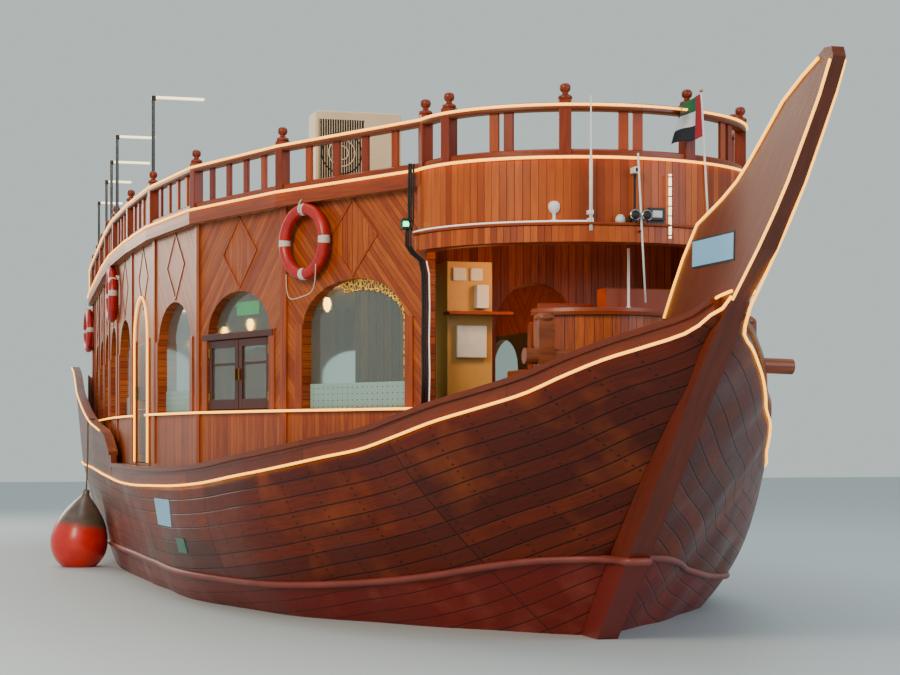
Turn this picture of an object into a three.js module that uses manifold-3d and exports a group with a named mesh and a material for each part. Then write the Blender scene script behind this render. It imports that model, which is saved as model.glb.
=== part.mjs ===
// A motorised wooden dinner-cruise dhow, afloat.
// Millimetres. +X is forward, +Y is port, +Z is up. The origin is amidships on the waterline.
import * as THREE from 'three';
import { mergeVertices } from 'three/addons/utils/BufferGeometryUtils.js';
import Module from 'manifold-3d';

const wasm = await Module();
wasm.setup();

const GAP = 0.3;
const SIDES = [
  { side: 'stbd', sign: -1 },
  { side: 'port', sign: 1 },
];

// Driving dimensions of the hull
const STEM_FOOT_X = 7050;
const STEM_HALF = 100;
const KEEL_TOP = -1250;
const KEEL_BOTTOM = -1500;
const SALOON_DECK = 1150;
const FOREDECK_DROP = 200;
const BULWARK_THICK = 70;
const BOW_FRAMES_X = 6000;
const BOW_THICKER = 1.35;
const STRAKE_HIGH = 250;
const WING_FLARE = 0.09;
const TRANSOM_RAKE = 0.36;
const WING_RAKE = 0.17;
const RAIL_HIGH = 80;
const RAIL_PROUD = 45;

// Hull stations from aft to forward: sheer half breadth, lit line height, bulwark cap height,
// bottom of the planking, fullness of the section, the boot rail's height, and how far the side
// draws in below the lit line as a share of its half breadth
const STATIONS = [
  { x: -11100, half: 2880, lit: 1400, cap: 3050, bottom: -50, full: 10, boot: 300, tuck: 0.12 },
  { x: -10600, half: 2930, lit: 1400, cap: 2950, bottom: -100, full: 10, boot: 302, tuck: 0.13 },
  { x: -10000, half: 2980, lit: 1400, cap: 2850, bottom: -170, full: 9, boot: 304, tuck: 0.145 },
  { x: -9000, half: 3070, lit: 1400, cap: 2680, bottom: -300, full: 8, boot: 308, tuck: 0.17 },
  { x: -8000, half: 3160, lit: 1400, cap: 2530, bottom: -530, full: 7, boot: 312, tuck: 0.185 },
  { x: -7000, half: 3230, lit: 1400, cap: 2390, bottom: -780, full: 7, boot: 316, tuck: 0.185 },
  { x: -6000, half: 3290, lit: 1398, cap: 2240, bottom: -980, full: 7, boot: 320, tuck: 0.18 },
  { x: -5000, half: 3340, lit: 1390, cap: 2110, bottom: -1100, full: 7, boot: 325, tuck: 0.165 },
  { x: -4100, half: 3376, lit: 1368, cap: 2018, bottom: -1190, full: 7, boot: 328, tuck: 0.17 },
  { x: -2800, half: 3400, lit: 1322, cap: 1908, bottom: -1240, full: 7, boot: 330, tuck: 0.19 },
  { x: -2440, half: 3400, lit: 1307, cap: 1810, bottom: -1245, full: 7, boot: 330, tuck: 0.195 },
  { x: -2130, half: 3400, lit: 1295, cap: 1640, bottom: KEEL_TOP, full: 7, boot: 330, tuck: 0.2 },
  { x: -2070, half: 3400, lit: 1293, cap: 1490, bottom: KEEL_TOP, full: 7, boot: 330, tuck: 0.2 },
  { x: -1000, half: 3400, lit: 1262, cap: 1487, bottom: KEEL_TOP, full: 7, boot: 326, tuck: 0.22 },
  { x: 0, half: 3370, lit: 1253, cap: 1480, bottom: KEEL_TOP, full: 5.5, boot: 322, tuck: 0.21 },
  { x: 1000, half: 3320, lit: 1267, cap: 1480, bottom: KEEL_TOP, full: 4.4, boot: 320, tuck: 0.14 },
  { x: 2000, half: 3222, lit: 1285, cap: 1495, bottom: KEEL_TOP, full: 3.3, boot: 320, tuck: 0.05 },
  { x: 3000, half: 3068, lit: 1331, cap: 1540, bottom: KEEL_TOP, full: 2.65, boot: 320, tuck: 0.02 },
  { x: 4000, half: 2841, lit: 1429, cap: 1640, bottom: KEEL_TOP, full: 2.35, boot: 333, tuck: 0 },
  { x: 4500, half: 2682, lit: 1485, cap: 1695, bottom: KEEL_TOP, full: 1.95, boot: 356, tuck: 0 },
  { x: 5000, half: 2496, lit: 1551, cap: 1760, bottom: KEEL_TOP, full: 1.5, boot: 400, tuck: 0 },
  { x: 5500, half: 2263, lit: 1630, cap: 1835, bottom: -1100, full: 1.33, boot: 458, tuck: 0 },
  { x: 6000, half: 2037, lit: 1703, cap: 1900, bottom: -650, full: 1.15, boot: 550, tuck: 0 },
  { x: 6500, half: 1829, lit: 1821, cap: 2015, bottom: -150, full: 1.2, boot: 645, tuck: 0 },
  { x: 6640, half: 1765, lit: 1858, cap: 2050, bottom: 40, full: 1.3, boot: 668, tuck: 0 },
  { x: 6680, half: 1747, lit: 1869, cap: 2060, bottom: 80, full: 1.3, boot: 674, tuck: 0 },
  { x: 7000, half: 1602, lit: 1954, cap: 2140, bottom: 400, full: 1.3, boot: 720, tuck: 0 },
  { x: 7500, half: 1330, lit: 2070, cap: 2250, bottom: 900, full: 1.3, boot: 745, tuck: 0 },
  { x: 8000, half: 1091, lit: 2181, cap: 2360, bottom: 1350, full: 1.3, boot: 745, tuck: 0 },
  { x: 8400, half: 880, lit: 2320, cap: 2490, bottom: 1690, full: 1.3, boot: 745, tuck: 0 },
  { x: 8800, half: 642, lit: 2453, cap: 2610, bottom: 2000, full: 1.3, boot: 745, tuck: 0 },
  { x: 9100, half: 468, lit: 2525, cap: 2685, bottom: 2200, full: 1.3, boot: 745, tuck: 0 },
  { x: 9500, half: 208, lit: 2646, cap: 2800, bottom: 2600, full: 1.3, boot: 745, tuck: 0 },
  { x: 9750, half: 130, lit: 2770, cap: 2900, bottom: 2735, full: 1.3, boot: 745, tuck: 0 },
];
const LAST_HULL_X = 9100;

// Rudder, propeller and the timber that carries them
const RUDDER_X = -9900;
const STOCK_RADIUS = 45;
const PINTLE_RADIUS = 25;
const PROP = { x: -9330, z: -860, radius: 430, hub: 85, shaft: 32 };
const POST_X = -9050;
const SHOE_TOP = -1400;
const LAST_BOOT_X = 7000;
const FOREDECK_START = 6680;

// Driving dimensions of the deckhouse
const SALOON_FLOOR = 1500;
const SILL = 2100;
const SPRING = 2880;
const ARCH_TOP = 3330;
const WALL_THICK = 100;
const ROOF_UNDER = 4100;
const ROOF_TOP = 4260;
const ROOF_OVERHANG = 90;
const ROOF_AFT_X = -11100;
const FRONT_ARC = { x: 6300, long: 1320, half: 1500 };
const FASCIA_THICK = 90;
const LEDGE_LOW = 3500;
const LEDGE_TOP = 3650;
const LEDGE_PROUD = 120;

// Plan corners of the deckhouse wall's outer face, from forward to aft, given for one side
const HOUSE_CORNERS = [
  { x: 6380, half: 1500 },
  { x: 4420, half: 2430 },
  { x: 2630, half: 3010 },
  { x: 780, half: 3225 },
  { x: -1020, half: 3260 },
  { x: -2820, half: 3235 },
  { x: -4620, half: 3140 },
  { x: -6420, half: 3020 },
  { x: -8220, half: 2900 },
  { x: -10000, half: 2780 },
];

// Openings of each wall panel, by the index of its forward corner: width, sill, spring, top,
// and the middle of the opening as a share of the panel's length
const WALL_OPENINGS = [
  { panel: 0, width: 1560, sill: SILL, spring: 2900, top: ARCH_TOP, at: 0.5, fill: 'glass' },
  { panel: 1, width: 1350, sill: SILL, spring: SPRING, top: ARCH_TOP, at: 0.52, fill: 'leaves' },
  { panel: 2, width: 1380, sill: SILL, spring: SPRING, top: ARCH_TOP, at: 0.54, fill: 'glass' },
  { panel: 3, width: 980, sill: SALOON_FLOOR + 10, spring: 2960, top: 3470, at: 0.54, fill: 'door' },
  { panel: 4, width: 1260, sill: SILL, spring: SPRING, top: ARCH_TOP, at: 0.5, fill: 'glass' },
  { panel: 5, width: 1260, sill: SILL, spring: SPRING, top: ARCH_TOP, at: 0.5, fill: 'glass' },
  { panel: 6, width: 1260, sill: SILL, spring: SPRING, top: ARCH_TOP, at: 0.5, fill: 'glass' },
  { panel: 7, width: 1260, sill: SILL, spring: SPRING, top: ARCH_TOP, at: 0.5, fill: 'glass' },
  { panel: 8, width: 1260, sill: SILL, spring: SPRING, top: ARCH_TOP, at: 0.5, fill: 'glass' },
];
const DOOR_THICK = 45;
const DOOR_GAP = 8;
const TRANSOM_BAR = { low: 2840, high: 2900 };

// Railing round the upper deck
const RAIL_CAP = { low: 4650, high: 4720, wide: 110 };
const RAIL_FOOT = { high: 60, wide: 70 };
const RAIL_INSET = 70;
const POST = { wide: 110, top: 4790, ball: 46 };
const BALUSTER = { wide: 90, deep: 32 };

// Materials
const WOOD = { roughness: 0.45, metalness: 0 };
const MATERIAL = {
  hull: new THREE.MeshStandardMaterial({ color: 0x5a1c0e, ...WOOD }),
  timber: new THREE.MeshStandardMaterial({ color: 0x8a3c16, ...WOOD }),
  teak: new THREE.MeshStandardMaterial({ color: 0xb5561c, ...WOOD }),
  deck: new THREE.MeshStandardMaterial({ color: 0xb98252, roughness: 0.7, metalness: 0 }),
  cream: new THREE.MeshStandardMaterial({ color: 0xe0c58a, roughness: 0.6, metalness: 0 }),
  glass: new THREE.MeshStandardMaterial({
    color: 0x9fc4c0, roughness: 0.1, metalness: 0, transparent: true, opacity: 0.4,
  }),
  red: new THREE.MeshStandardMaterial({ color: 0xd01810, roughness: 0.5, metalness: 0 }),
  bronze: new THREE.MeshStandardMaterial({ color: 0xa8803c, roughness: 0.35, metalness: 1 }),
};

// Joining and cutting
function toManifold(geometry) {
  const bare = geometry.index ? geometry.toNonIndexed() : geometry.clone();
  for (const name of Object.keys(bare.attributes)) {
    if (name !== 'position') {
      bare.deleteAttribute(name);
    }
  }
  const merged = mergeVertices(bare, 1e-3);
  const mesh = new wasm.Mesh({
    numProp: 3,
    vertProperties: Float32Array.from(merged.attributes.position.array),
    triVerts: Uint32Array.from(merged.index.array),
  });
  return new wasm.Manifold(mesh);
}

function toGeometry(manifold) {
  const mesh = manifold.getMesh();
  const geometry = new THREE.BufferGeometry();
  geometry.setAttribute('position', new THREE.BufferAttribute(Float32Array.from(mesh.vertProperties), 3));
  geometry.setIndex(new THREE.BufferAttribute(Uint32Array.from(mesh.triVerts), 1));
  geometry.computeVertexNormals();
  return geometry;
}

function join(parts) {
  return toGeometry(parts.map(toManifold).reduce((whole, part) => whole.add(part)));
}

function cut(body, tools) {
  return toGeometry(tools.map(toManifold).reduce((whole, tool) => whole.subtract(tool), toManifold(body)));
}

// Plain shapes
function block(x, y, z) {
  const geometry = new THREE.BoxGeometry(x[1] - x[0], y[1] - y[0], z[1] - z[0]);
  geometry.translate((x[0] + x[1]) / 2, (y[0] + y[1]) / 2, (z[0] + z[1]) / 2);
  return geometry;
}

// An outline without the points that lie on a straight line between their neighbours
function corners(outline) {
  return outline.filter(([x, y], i) => {
    const [ax, ay] = outline[(i + outline.length - 1) % outline.length];
    const [bx, by] = outline[(i + 1) % outline.length];
    return Math.abs((x - ax) * (by - ay) - (bx - ax) * (y - ay)) > 1;
  });
}

function shapeOf(outline) {
  return new THREE.Shape(corners(outline).map(([x, y]) => new THREE.Vector2(x, y)));
}

// A plan outline raised from one height to another
function raised(outline, low, high) {
  const shape = shapeOf(outline);
  const geometry = new THREE.ExtrudeGeometry(shape, { depth: high - low, bevelEnabled: false });
  geometry.translate(0, 0, low);
  return geometry;
}

// A side profile in X and Z, given its thickness across the boat
function sideProfile(outline, half) {
  const shape = shapeOf(outline);
  const geometry = new THREE.ExtrudeGeometry(shape, { depth: 2 * half, bevelEnabled: false });
  geometry.rotateX(Math.PI / 2);
  geometry.translate(0, half, 0);
  return geometry;
}

// A closed skin over rings that all have the same number of points
function loft(rings) {
  const positions = [];
  const count = rings[0].length;
  const push = (a, b, c) => positions.push(...a, ...b, ...c);
  for (let i = 0; i + 1 < rings.length; i += 1) {
    for (let j = 0; j < count; j += 1) {
      const k = (j + 1) % count;
      push(rings[i][j], rings[i + 1][j], rings[i + 1][k]);
      push(rings[i][j], rings[i + 1][k], rings[i][k]);
    }
  }
  const middle = (ring) => [0, 1, 2].map((k) => ring.reduce((sum, point) => sum + point[k], 0) / ring.length);
  const first = rings[0];
  const last = rings[rings.length - 1];
  for (let j = 0; j < count; j += 1) {
    const k = (j + 1) % count;
    push(middle(first), first[j], first[k]);
    push(middle(last), last[k], last[j]);
  }
  const geometry = new THREE.BufferGeometry();
  geometry.setAttribute('position', new THREE.Float32BufferAttribute(positions, 3));
  return outward(geometry);
}

// Turns a closed skin's faces outwards
function outward(geometry) {
  const p = geometry.attributes.position.array;
  let volume = 0;
  for (let i = 0; i < p.length; i += 9) {
    const [ax, ay, az, bx, by, bz, cx, cy, cz] = p.slice(i, i + 9);
    volume += ax * (by * cz - bz * cy) + ay * (bz * cx - bx * cz) + az * (bx * cy - by * cx);
  }
  if (volume < 0) {
    for (let i = 0; i < p.length; i += 9) {
      for (let k = 0; k < 3; k += 1) {
        [p[i + 3 + k], p[i + 6 + k]] = [p[i + 6 + k], p[i + 3 + k]];
      }
    }
  }
  return geometry;
}

// A round bar between two points
function bar(from, to, radius, sides = 10) {
  const a = new THREE.Vector3(...from);
  const b = new THREE.Vector3(...to);
  const length = a.distanceTo(b);
  const geometry = new THREE.CylinderGeometry(radius, radius, length, sides);
  geometry.rotateX(Math.PI / 2);
  geometry.lookAt(b.clone().sub(a).normalize());
  geometry.translate((a.x + b.x) / 2, (a.y + b.y) / 2, (a.z + b.z) / 2);
  return geometry;
}

// Hull form
const stemZ = (x) => x - STEM_FOOT_X;

function between(x, key) {
  const i = STATIONS.findIndex((station) => station.x >= x);
  if (i <= 0) {
    return STATIONS[0][key];
  }
  const a = STATIONS[i - 1];
  const b = STATIONS[i];
  return a[key] + ((b[key] - a[key]) * (x - a.x)) / (b.x - a.x);
}

function halfBreadth(station, z) {
  const u = Math.min(Math.max((z - station.bottom) / (station.lit - station.bottom), 0), 1);
  const round = 1 - (1 - u) ** station.full;
  return STEM_HALF + (station.half - STEM_HALF) * round * (1 - station.tuck * (1 - u));
}

function deckHeight(x, lit) {
  return x < FOREDECK_START ? SALOON_DECK : lit - FOREDECK_DROP;
}

const SECTION_STEPS = [0, 0.06, 0.14, 0.24, 0.36, 0.5, 0.66, 0.83, 1];

// How far the raked stern stands off its station at a given height
function sternLean(station, z) {
  if (station.x !== STATIONS[0].x) {
    return 0;
  }
  return (station.lit - z) * (z < station.lit ? TRANSOM_RAKE : WING_RAKE);
}

function hullRing(station) {
  const deck = deckHeight(station.x, station.lit);
  const side = SECTION_STEPS.map((step) => {
    const z = station.bottom + (deck - station.bottom) * step;
    return [halfBreadth(station, z), z];
  });
  const port = side.map(([y, z]) => [station.x + sternLean(station, z), y, z]);
  const stbd = side.map(([y, z]) => [station.x + sternLean(station, z), -y, z]).reverse();
  return [...port, ...stbd];
}

function hullBody() {
  return loft(STATIONS.filter((station) => station.x <= LAST_HULL_X).map(hullRing));
}

// The painted boot rail runs along the side a little above the water, worked in one with the planking
function bootRail(sign) {
  const rings = STATIONS.filter((s) => s.x <= LAST_BOOT_X && s.x > STATIONS[0].x).map((station) => {
    const low = station.boot - RAIL_HIGH / 2;
    const high = station.boot + RAIL_HIGH / 2;
    const inLow = halfBreadth(station, low);
    const inHigh = halfBreadth(station, high);
    return [
      [station.x, sign * (inLow - 60), low],
      [station.x, sign * (inLow + RAIL_PROUD), low + 12],
      [station.x, sign * (inHigh + RAIL_PROUD), high - 12],
      [station.x, sign * (inHigh - 60), high],
    ];
  });
  return loft(rings);
}

function makeHull() {
  const trunk = bar([RUDDER_X, 0, -400], [RUDDER_X, 0, 500], STOCK_RADIUS + 6, 16);
  return cut(join([hullBody(), bootRail(-1), bootRail(1)]), [trunk]);
}

// Trims a body so that it stands on the deck
function onDeck(geometry) {
  const deck = hullBody();
  deck.translate(0, 0, GAP);
  return cut(geometry, [deck]);
}

// An outline drawn across the boat (Y and Z), carried from one place to another along it
function carried(outline, from, to) {
  const geometry = new THREE.ExtrudeGeometry(shapeOf(outline), { depth: to - from, bevelEnabled: false });
  geometry.rotateX(Math.PI / 2);
  geometry.rotateZ(Math.PI / 2);
  geometry.translate(from, 0, 0);
  return geometry;
}

// Keel, deadwood, stem and prow in one run of timber, which grows thinner towards the scroll
const PROW_TAPER = [
  { z: 2450, half: STEM_HALF + 1 },
  { z: 2900, half: 78 },
  { z: 4600, half: 45 },
];

const PROW_OUTLINE = [
  [9900, 2850],
  [10420, 3200],
  [10900, 3640],
  [11180, 3950],
  [11400, 4200],
  [11560, 4420],
  [11530, 4490],
  [11420, 4500],
  [11100, 4360],
  [10790, 4230],
  [10400, 3980],
  [10010, 3750],
  [9490, 3570],
  [9260, 3500],
  [8980, 3250],
  [8780, 3020],
  [8600, 2780],
  [8540, 2620],
];

function makeKeelAndStem() {
  const g = 3;
  const rabbet = STATIONS.filter((s) => s.x >= 5500 && s.x <= LAST_HULL_X).map((s) => [s.x + g, s.bottom - g]);
  const run = STATIONS.filter((s) => s.x >= POST_X && s.x <= 5000).map((s) => [s.x, s.bottom - g]);
  const outline = [
    [STEM_FOOT_X + KEEL_BOTTOM, KEEL_BOTTOM],
    [STEM_FOOT_X + 2850, 2850],
    ...PROW_OUTLINE.slice(1),
    [9103, 2345],
    ...rabbet.reverse(),
    [5300, KEEL_TOP - g],
    ...run.reverse(),
    [POST_X, between(POST_X, 'bottom') - g],
    [POST_X, SHOE_TOP],
    [RUDDER_X - 120, SHOE_TOP],
    [RUDDER_X - 120, KEEL_BOTTOM],
  ];
  const timber = sideProfile(outline, STEM_HALF);
  const tapers = SIDES.map(({ sign }) => {
    const edge = PROW_TAPER.map(({ z, half }) => [sign * half, z]);
    return carried([...edge, [sign * 300, PROW_TAPER[2].z], [sign * 300, PROW_TAPER[0].z]], 8000, 12000);
  });
  return cut(timber, [
    ...tapers,
    bar([POST_X - 200, 0, PROP.z], [POST_X + 600, 0, PROP.z], PROP.shaft + 6, 16),
    bar([RUDDER_X, 0, KEEL_BOTTOM - 50], [RUDDER_X, 0, SHOE_TOP + 50], PINTLE_RADIUS + 6, 16),
  ]);
}

function makeBulwark(sign) {
  const rings = STATIONS.map((station) => {
    const deck = deckHeight(station.x, station.lit) + GAP;
    const low = Math.max(station.x > LAST_HULL_X ? station.bottom : deck, deck);
    const thick = station.x > BOW_FRAMES_X ? BULWARK_THICK * BOW_THICKER : BULWARK_THICK;
    const outerLow = station.x > LAST_HULL_X ? station.half : halfBreadth(station, low);
    const innerTop = Math.max(station.half - thick, STEM_HALF + 3);
    const innerLow = Math.max(outerLow - thick, STEM_HALF + 3);
    const flare = Math.max(0, station.cap - station.lit - STRAKE_HIGH) * WING_FLARE;
    const topOut = Math.max(station.half + flare, innerTop + 12);
    const at = (y, z) => [station.x + sternLean(station, z), sign * y, z];
    return [
      at(Math.max(outerLow, innerLow + 12), low),
      at(Math.max(station.half, innerTop + 12), station.lit),
      at(topOut, station.cap),
      at(innerTop + flare, station.cap),
      at(innerTop, station.lit),
      at(innerLow, low),
    ];
  });
  return loft(rings);
}

// All that lies outside the bulwark's inner face, for trimming what stands within
function outsideBulwark(sign) {
  const far = 6000;
  return loft(STATIONS.filter((s) => s.x > 2500 && s.x < 8500).map((station) => {
    const deck = deckHeight(station.x, station.lit) - 1;
    const cap = station.cap + GAP;
    const inner = (half) => half - BULWARK_THICK * BOW_THICKER - GAP;
    return [
      [station.x, sign * far, deck],
      [station.x, sign * far, cap],
      [station.x, sign * inner(station.half), cap],
      [station.x, sign * inner(station.half), station.lit],
      [station.x, sign * inner(halfBreadth(station, deck)), deck],
    ];
  }));
}

function insideBulwark(geometry) {
  const deck = hullBody();
  deck.translate(0, 0, GAP);
  return cut(geometry, [deck, outsideBulwark(-1), outsideBulwark(1)]);
}

// The beam that lies across the bow's caps, and a timber head at each side
const CROSS_BEAM = { x: 8000, radius: 68, stbd: { y: -1100, z: 2500 }, port: { y: 1357, z: 2432 } };
const TIMBER_HEAD = { y: 920, wide: 140, top: 2820, foot: 2020 };

function makeCrossBeam() {
  const { x, radius, stbd, port } = CROSS_BEAM;
  const { y, wide, top, foot } = TIMBER_HEAD;
  const heads = SIDES.map(({ sign }) => {
    return block([x - wide / 2, x + wide / 2], [sign * y - wide / 2, sign * y + wide / 2], [foot, top]);
  });
  return insideBulwark(join([bar([x, stbd.y, stbd.z], [x, port.y, port.z], radius, 16), ...heads]));
}

// The taffrail closes the stern between the two bulwarks and sweeps up to them
const TAFFRAIL = { aft: -11030, fore: -10950, half: 2805, foot: 2715, waist: 1400, dip: 1950, rise: 950 };

function makeTaffrail() {
  const low = SALOON_DECK + GAP;
  const { half, foot, waist, dip, rise } = TAFFRAIL;
  const outline = [[-half, waist], [-foot, low], [foot, low], [half, waist]];
  const steps = 12;
  for (let i = 0; i <= steps; i += 1) {
    const t = 1 - (2 * i) / steps;
    outline.push([half * t, dip + rise * Math.abs(t) ** 3]);
  }
  return carried(outline, TAFFRAIL.aft, TAFFRAIL.fore);
}

// Deckhouse walls
function cornerPoint(i, inset, sign) {
  const corner = HOUSE_CORNERS[i];
  const direction = (a, b) => {
    const v = new THREE.Vector2(b.x - a.x, b.half - a.half);
    return v.normalize();
  };
  const before = i > 0 ? direction(HOUSE_CORNERS[i - 1], corner) : direction(corner, HOUSE_CORNERS[i + 1]);
  const after = i + 1 < HOUSE_CORNERS.length ? direction(corner, HOUSE_CORNERS[i + 1]) : before;
  const normal = new THREE.Vector2(before.y + after.y, -(before.x + after.x)).normalize();
  const spread = normal.dot(new THREE.Vector2(after.y, -after.x));
  return [corner.x - (normal.x * inset) / spread, sign * (corner.half - (normal.y * inset) / spread)];
}

function panelFrame(i, sign) {
  const a = HOUSE_CORNERS[i];
  const b = HOUSE_CORNERS[i + 1];
  const from = new THREE.Vector3(a.x, sign * a.half, 0);
  const to = new THREE.Vector3(b.x, sign * b.half, 0);
  const along = to.clone().sub(from);
  const length = along.length();
  along.normalize();
  const out = new THREE.Vector3(-along.y, along.x, 0).multiplyScalar(sign * -1);
  if (out.y * sign < 0) {
    out.negate();
  }
  return { from, along, out, length };
}

// Puts a shape drawn along the wall (u) and up (z), with its depth outwards, onto a wall panel
function onPanel(points, i, sign, outFrom, outTo) {
  const { from, along, out } = panelFrame(i, sign);
  const shape = shapeOf(points);
  const geometry = new THREE.ExtrudeGeometry(shape, { depth: outTo - outFrom, bevelEnabled: false });
  const p = geometry.attributes.position;
  for (let k = 0; k < p.count; k += 1) {
    const u = p.getX(k);
    const z = p.getY(k);
    const n = p.getZ(k) + outFrom;
    p.setXYZ(k, from.x + along.x * u + out.x * n, from.y + along.y * u + out.y * n, z);
  }
  const plain = geometry.index ? geometry.toNonIndexed() : geometry;
  return outward(plain);
}

function archPoints(centre, width, sill, spring, top, steps = 12) {
  const points = [[centre - width / 2, sill], [centre + width / 2, sill]];
  for (let i = 0; i <= steps; i += 1) {
    const angle = (Math.PI * i) / steps;
    points.push([centre + (width / 2) * Math.cos(angle), spring + (top - spring) * Math.sin(angle)]);
  }
  return points;
}

function openingArch(opening, grow = 0) {
  const { length } = panelFrame(opening.panel, 1);
  const centre = length * opening.at;
  return archPoints(centre, opening.width + 2 * grow, opening.sill - grow, opening.spring, opening.top + grow);
}

function wallRun(first, last, sign) {
  const shift = GAP / 2;
  const outer = [];
  const inner = [];
  for (let i = first; i <= last; i += 1) {
    outer.push(cornerPoint(i, 0, sign));
    inner.push(cornerPoint(i, WALL_THICK, sign));
  }
  const nudge = (points) => points.map(([x, y], k) => {
    if (k > 0 && k < points.length - 1) {
      return [x, y];
    }
    const { along } = panelFrame(k === 0 ? first : last - 1, sign);
    const by = k === 0 ? shift : -shift;
    return [x + along.x * by, y + along.y * by];
  });
  const outline = [...nudge(outer), ...nudge(inner).reverse()];
  const wall = insideBulwark(raised(outline, SALOON_DECK + GAP, ROOF_UNDER - GAP));
  const tools = WALL_OPENINGS.filter((o) => o.panel >= first && o.panel < last).flatMap((o) => {
    if (o.fill !== 'leaves') {
      return [onPanel(openingArch(o), o.panel, sign, -300, 200)];
    }
    const centre = panelFrame(o.panel, 1).length * o.at;
    const light = { ...o, sill: TRANSOM_BAR.high, spring: TRANSOM_BAR.high + 1 };
    const hatch = rectangle(centre - o.width / 2, centre + o.width / 2, o.sill, TRANSOM_BAR.low);
    return [onPanel(hatch, o.panel, sign, -300, 200), onPanel(openingArch(light), o.panel, sign, -300, 200)];
  });
  return cut(wall, tools);
}

function rectangle(u0, u1, z0, z1) {
  return [[u0, z0], [u1, z0], [u1, z1], [u0, z1]];
}

// Glazing: one sheet lies against the inner face of a run of walls
const GLASS = { thick: 8, low: 2040, high: 3390 };

function glazing(first, last, sign) {
  const shift = 2;
  const at = (i, inset) => {
    const [x, y] = cornerPoint(i, inset, sign);
    if (i !== first && i !== last) {
      return [x, y];
    }
    const { along } = panelFrame(i === first ? first : last - 1, sign);
    const by = i === first ? shift : -shift;
    return [x + along.x * by, y + along.y * by];
  };
  const outline = [];
  for (let i = first; i <= last; i += 1) {
    outline.push(at(i, WALL_THICK + GAP));
  }
  for (let i = last; i >= first; i -= 1) {
    outline.push(at(i, WALL_THICK + GAP + GLASS.thick));
  }
  const sheet = raised(outline, GLASS.low, GLASS.high);
  const hatches = WALL_OPENINGS.filter((o) => o.fill === 'leaves' && o.panel >= first && o.panel < last);
  if (hatches.length === 0) {
    return sheet;
  }
  return cut(sheet, hatches.map((o) => {
    const { length } = panelFrame(o.panel, sign);
    const points = rectangle(60, length + 200, GLASS.low - 50, TRANSOM_BAR.low + 20);
    return onPanel(points, o.panel, sign, -400, 100);
  }));
}

// Half the clear width of the house at a given place, inside the glass
function insideHalf(x) {
  const inset = WALL_THICK + GLASS.thick + 2 * GAP + 1;
  const points = HOUSE_CORNERS.map((corner, i) => cornerPoint(i, inset, 1));
  const i = Math.max(1, points.findIndex(([px]) => px <= x));
  const [ax, ay] = points[i - 1];
  const [bx, by] = points[i];
  return ay + ((by - ay) * (x - ax)) / (bx - ax);
}

// Bulkheads across the house
const BULKHEAD_FORE = { x: 5300, thick: 60, door: { centre: -110, width: 820, spring: 2900, top: 3330 } };
const BULKHEAD_AFT = { x: -9940, thick: 60, door: { centre: 0, width: 860, spring: 2960, top: 3400 } };
const AFT_WINDOWS = [{ centre: -1700, width: 1200 }, { centre: 1700, width: 1200 }];

// An arch through a bulkhead, drawn across the boat and cut fore and aft
function crossArch(centre, width, sill, spring, top, from, to) {
  return carried(archPoints(centre, width, sill, spring, top), from, to);
}

function bulkhead({ x, thick, door }, windows) {
  const a = x - thick / 2;
  const b = x + thick / 2;
  const outline = [[a, -insideHalf(a)], [b, -insideHalf(b)], [b, insideHalf(b)], [a, insideHalf(a)]];
  const wall = raised(outline, SALOON_FLOOR + GAP, ROOF_UNDER - GAP);
  const doorway = crossArch(door.centre, door.width, SALOON_FLOOR - 50, door.spring, door.top, a - 200, b + 200);
  const lights = windows.map(({ centre, width }) => {
    return crossArch(centre, width, SILL, SPRING, ARCH_TOP, a - 200, b + 200);
  });
  return cut(wall, [doorway, ...lights]);
}

// The saloon floor lies on the hull's deck between the walls
function makeSaloonFloor() {
  const inset = WALL_THICK + GAP;
  const side = (sign) => HOUSE_CORNERS.map((corner, i) => cornerPoint(i, inset, sign));
  return insideBulwark(raised([...side(1), ...side(-1).reverse()], SALOON_DECK + GAP, SALOON_FLOOR));
}

// Upper deck, which is the saloon's roof
const ROOF_ARC = { x: FRONT_ARC.x, long: 1390, half: 1590 };
const ROOF_AFT_HALF = 2780;
const AFT_POST = { x: -10860, y: 2660, wide: 150 };

function arcPoints({ x, long, half }, startX, sign, steps = 10) {
  const start = Math.asin((startX - x) / long);
  const points = [];
  for (let i = 0; i <= steps; i += 1) {
    const angle = start + ((Math.PI / 2 - start) * i) / steps;
    points.push([x + long * Math.sin(angle), sign * half * Math.cos(angle)]);
  }
  return points;
}

function roofSide(sign) {
  const edge = HOUSE_CORNERS.map((corner, i) => cornerPoint(i, -ROOF_OVERHANG, sign)).reverse();
  return [[ROOF_AFT_X, sign * ROOF_AFT_HALF], ...edge, ...arcPoints(ROOF_ARC, 6470, sign)];
}

function makeUpperDeck() {
  const port = roofSide(1);
  const stbd = roofSide(-1).reverse().slice(1);
  const slab = raised([...port, ...stbd], ROOF_UNDER, ROOF_TOP);
  const posts = SIDES.map(({ sign }) => {
    const { x, y, wide } = AFT_POST;
    return block(
      [x - wide / 2, x + wide / 2],
      [sign * y - wide / 2, sign * y + wide / 2],
      [SALOON_DECK + GAP, ROOF_UNDER + 20],
    );
  });
  return join([slab, ...posts]);
}

// The curved fascia over the open helm, with a ledge that carries the instruments
const WHIP = { x: 7712, y: -100, radius: 16, top: 4770 };
const STAFF = { x: 7490, y: 900, radius: 16, top: 4960 };
const FLAG = { wide: 300, low: 4420, high: 4900, thick: 12, turn: 0.52 };

function arcBand(outer, inner, low, high) {
  const startX = HOUSE_CORNERS[0].x + 1;
  const ring = (arc) => [...arcPoints(arc, startX, -1), ...arcPoints(arc, startX, 1).reverse().slice(1)];
  return raised([...ring(outer), ...ring(inner).reverse()], low, high);
}

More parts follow.
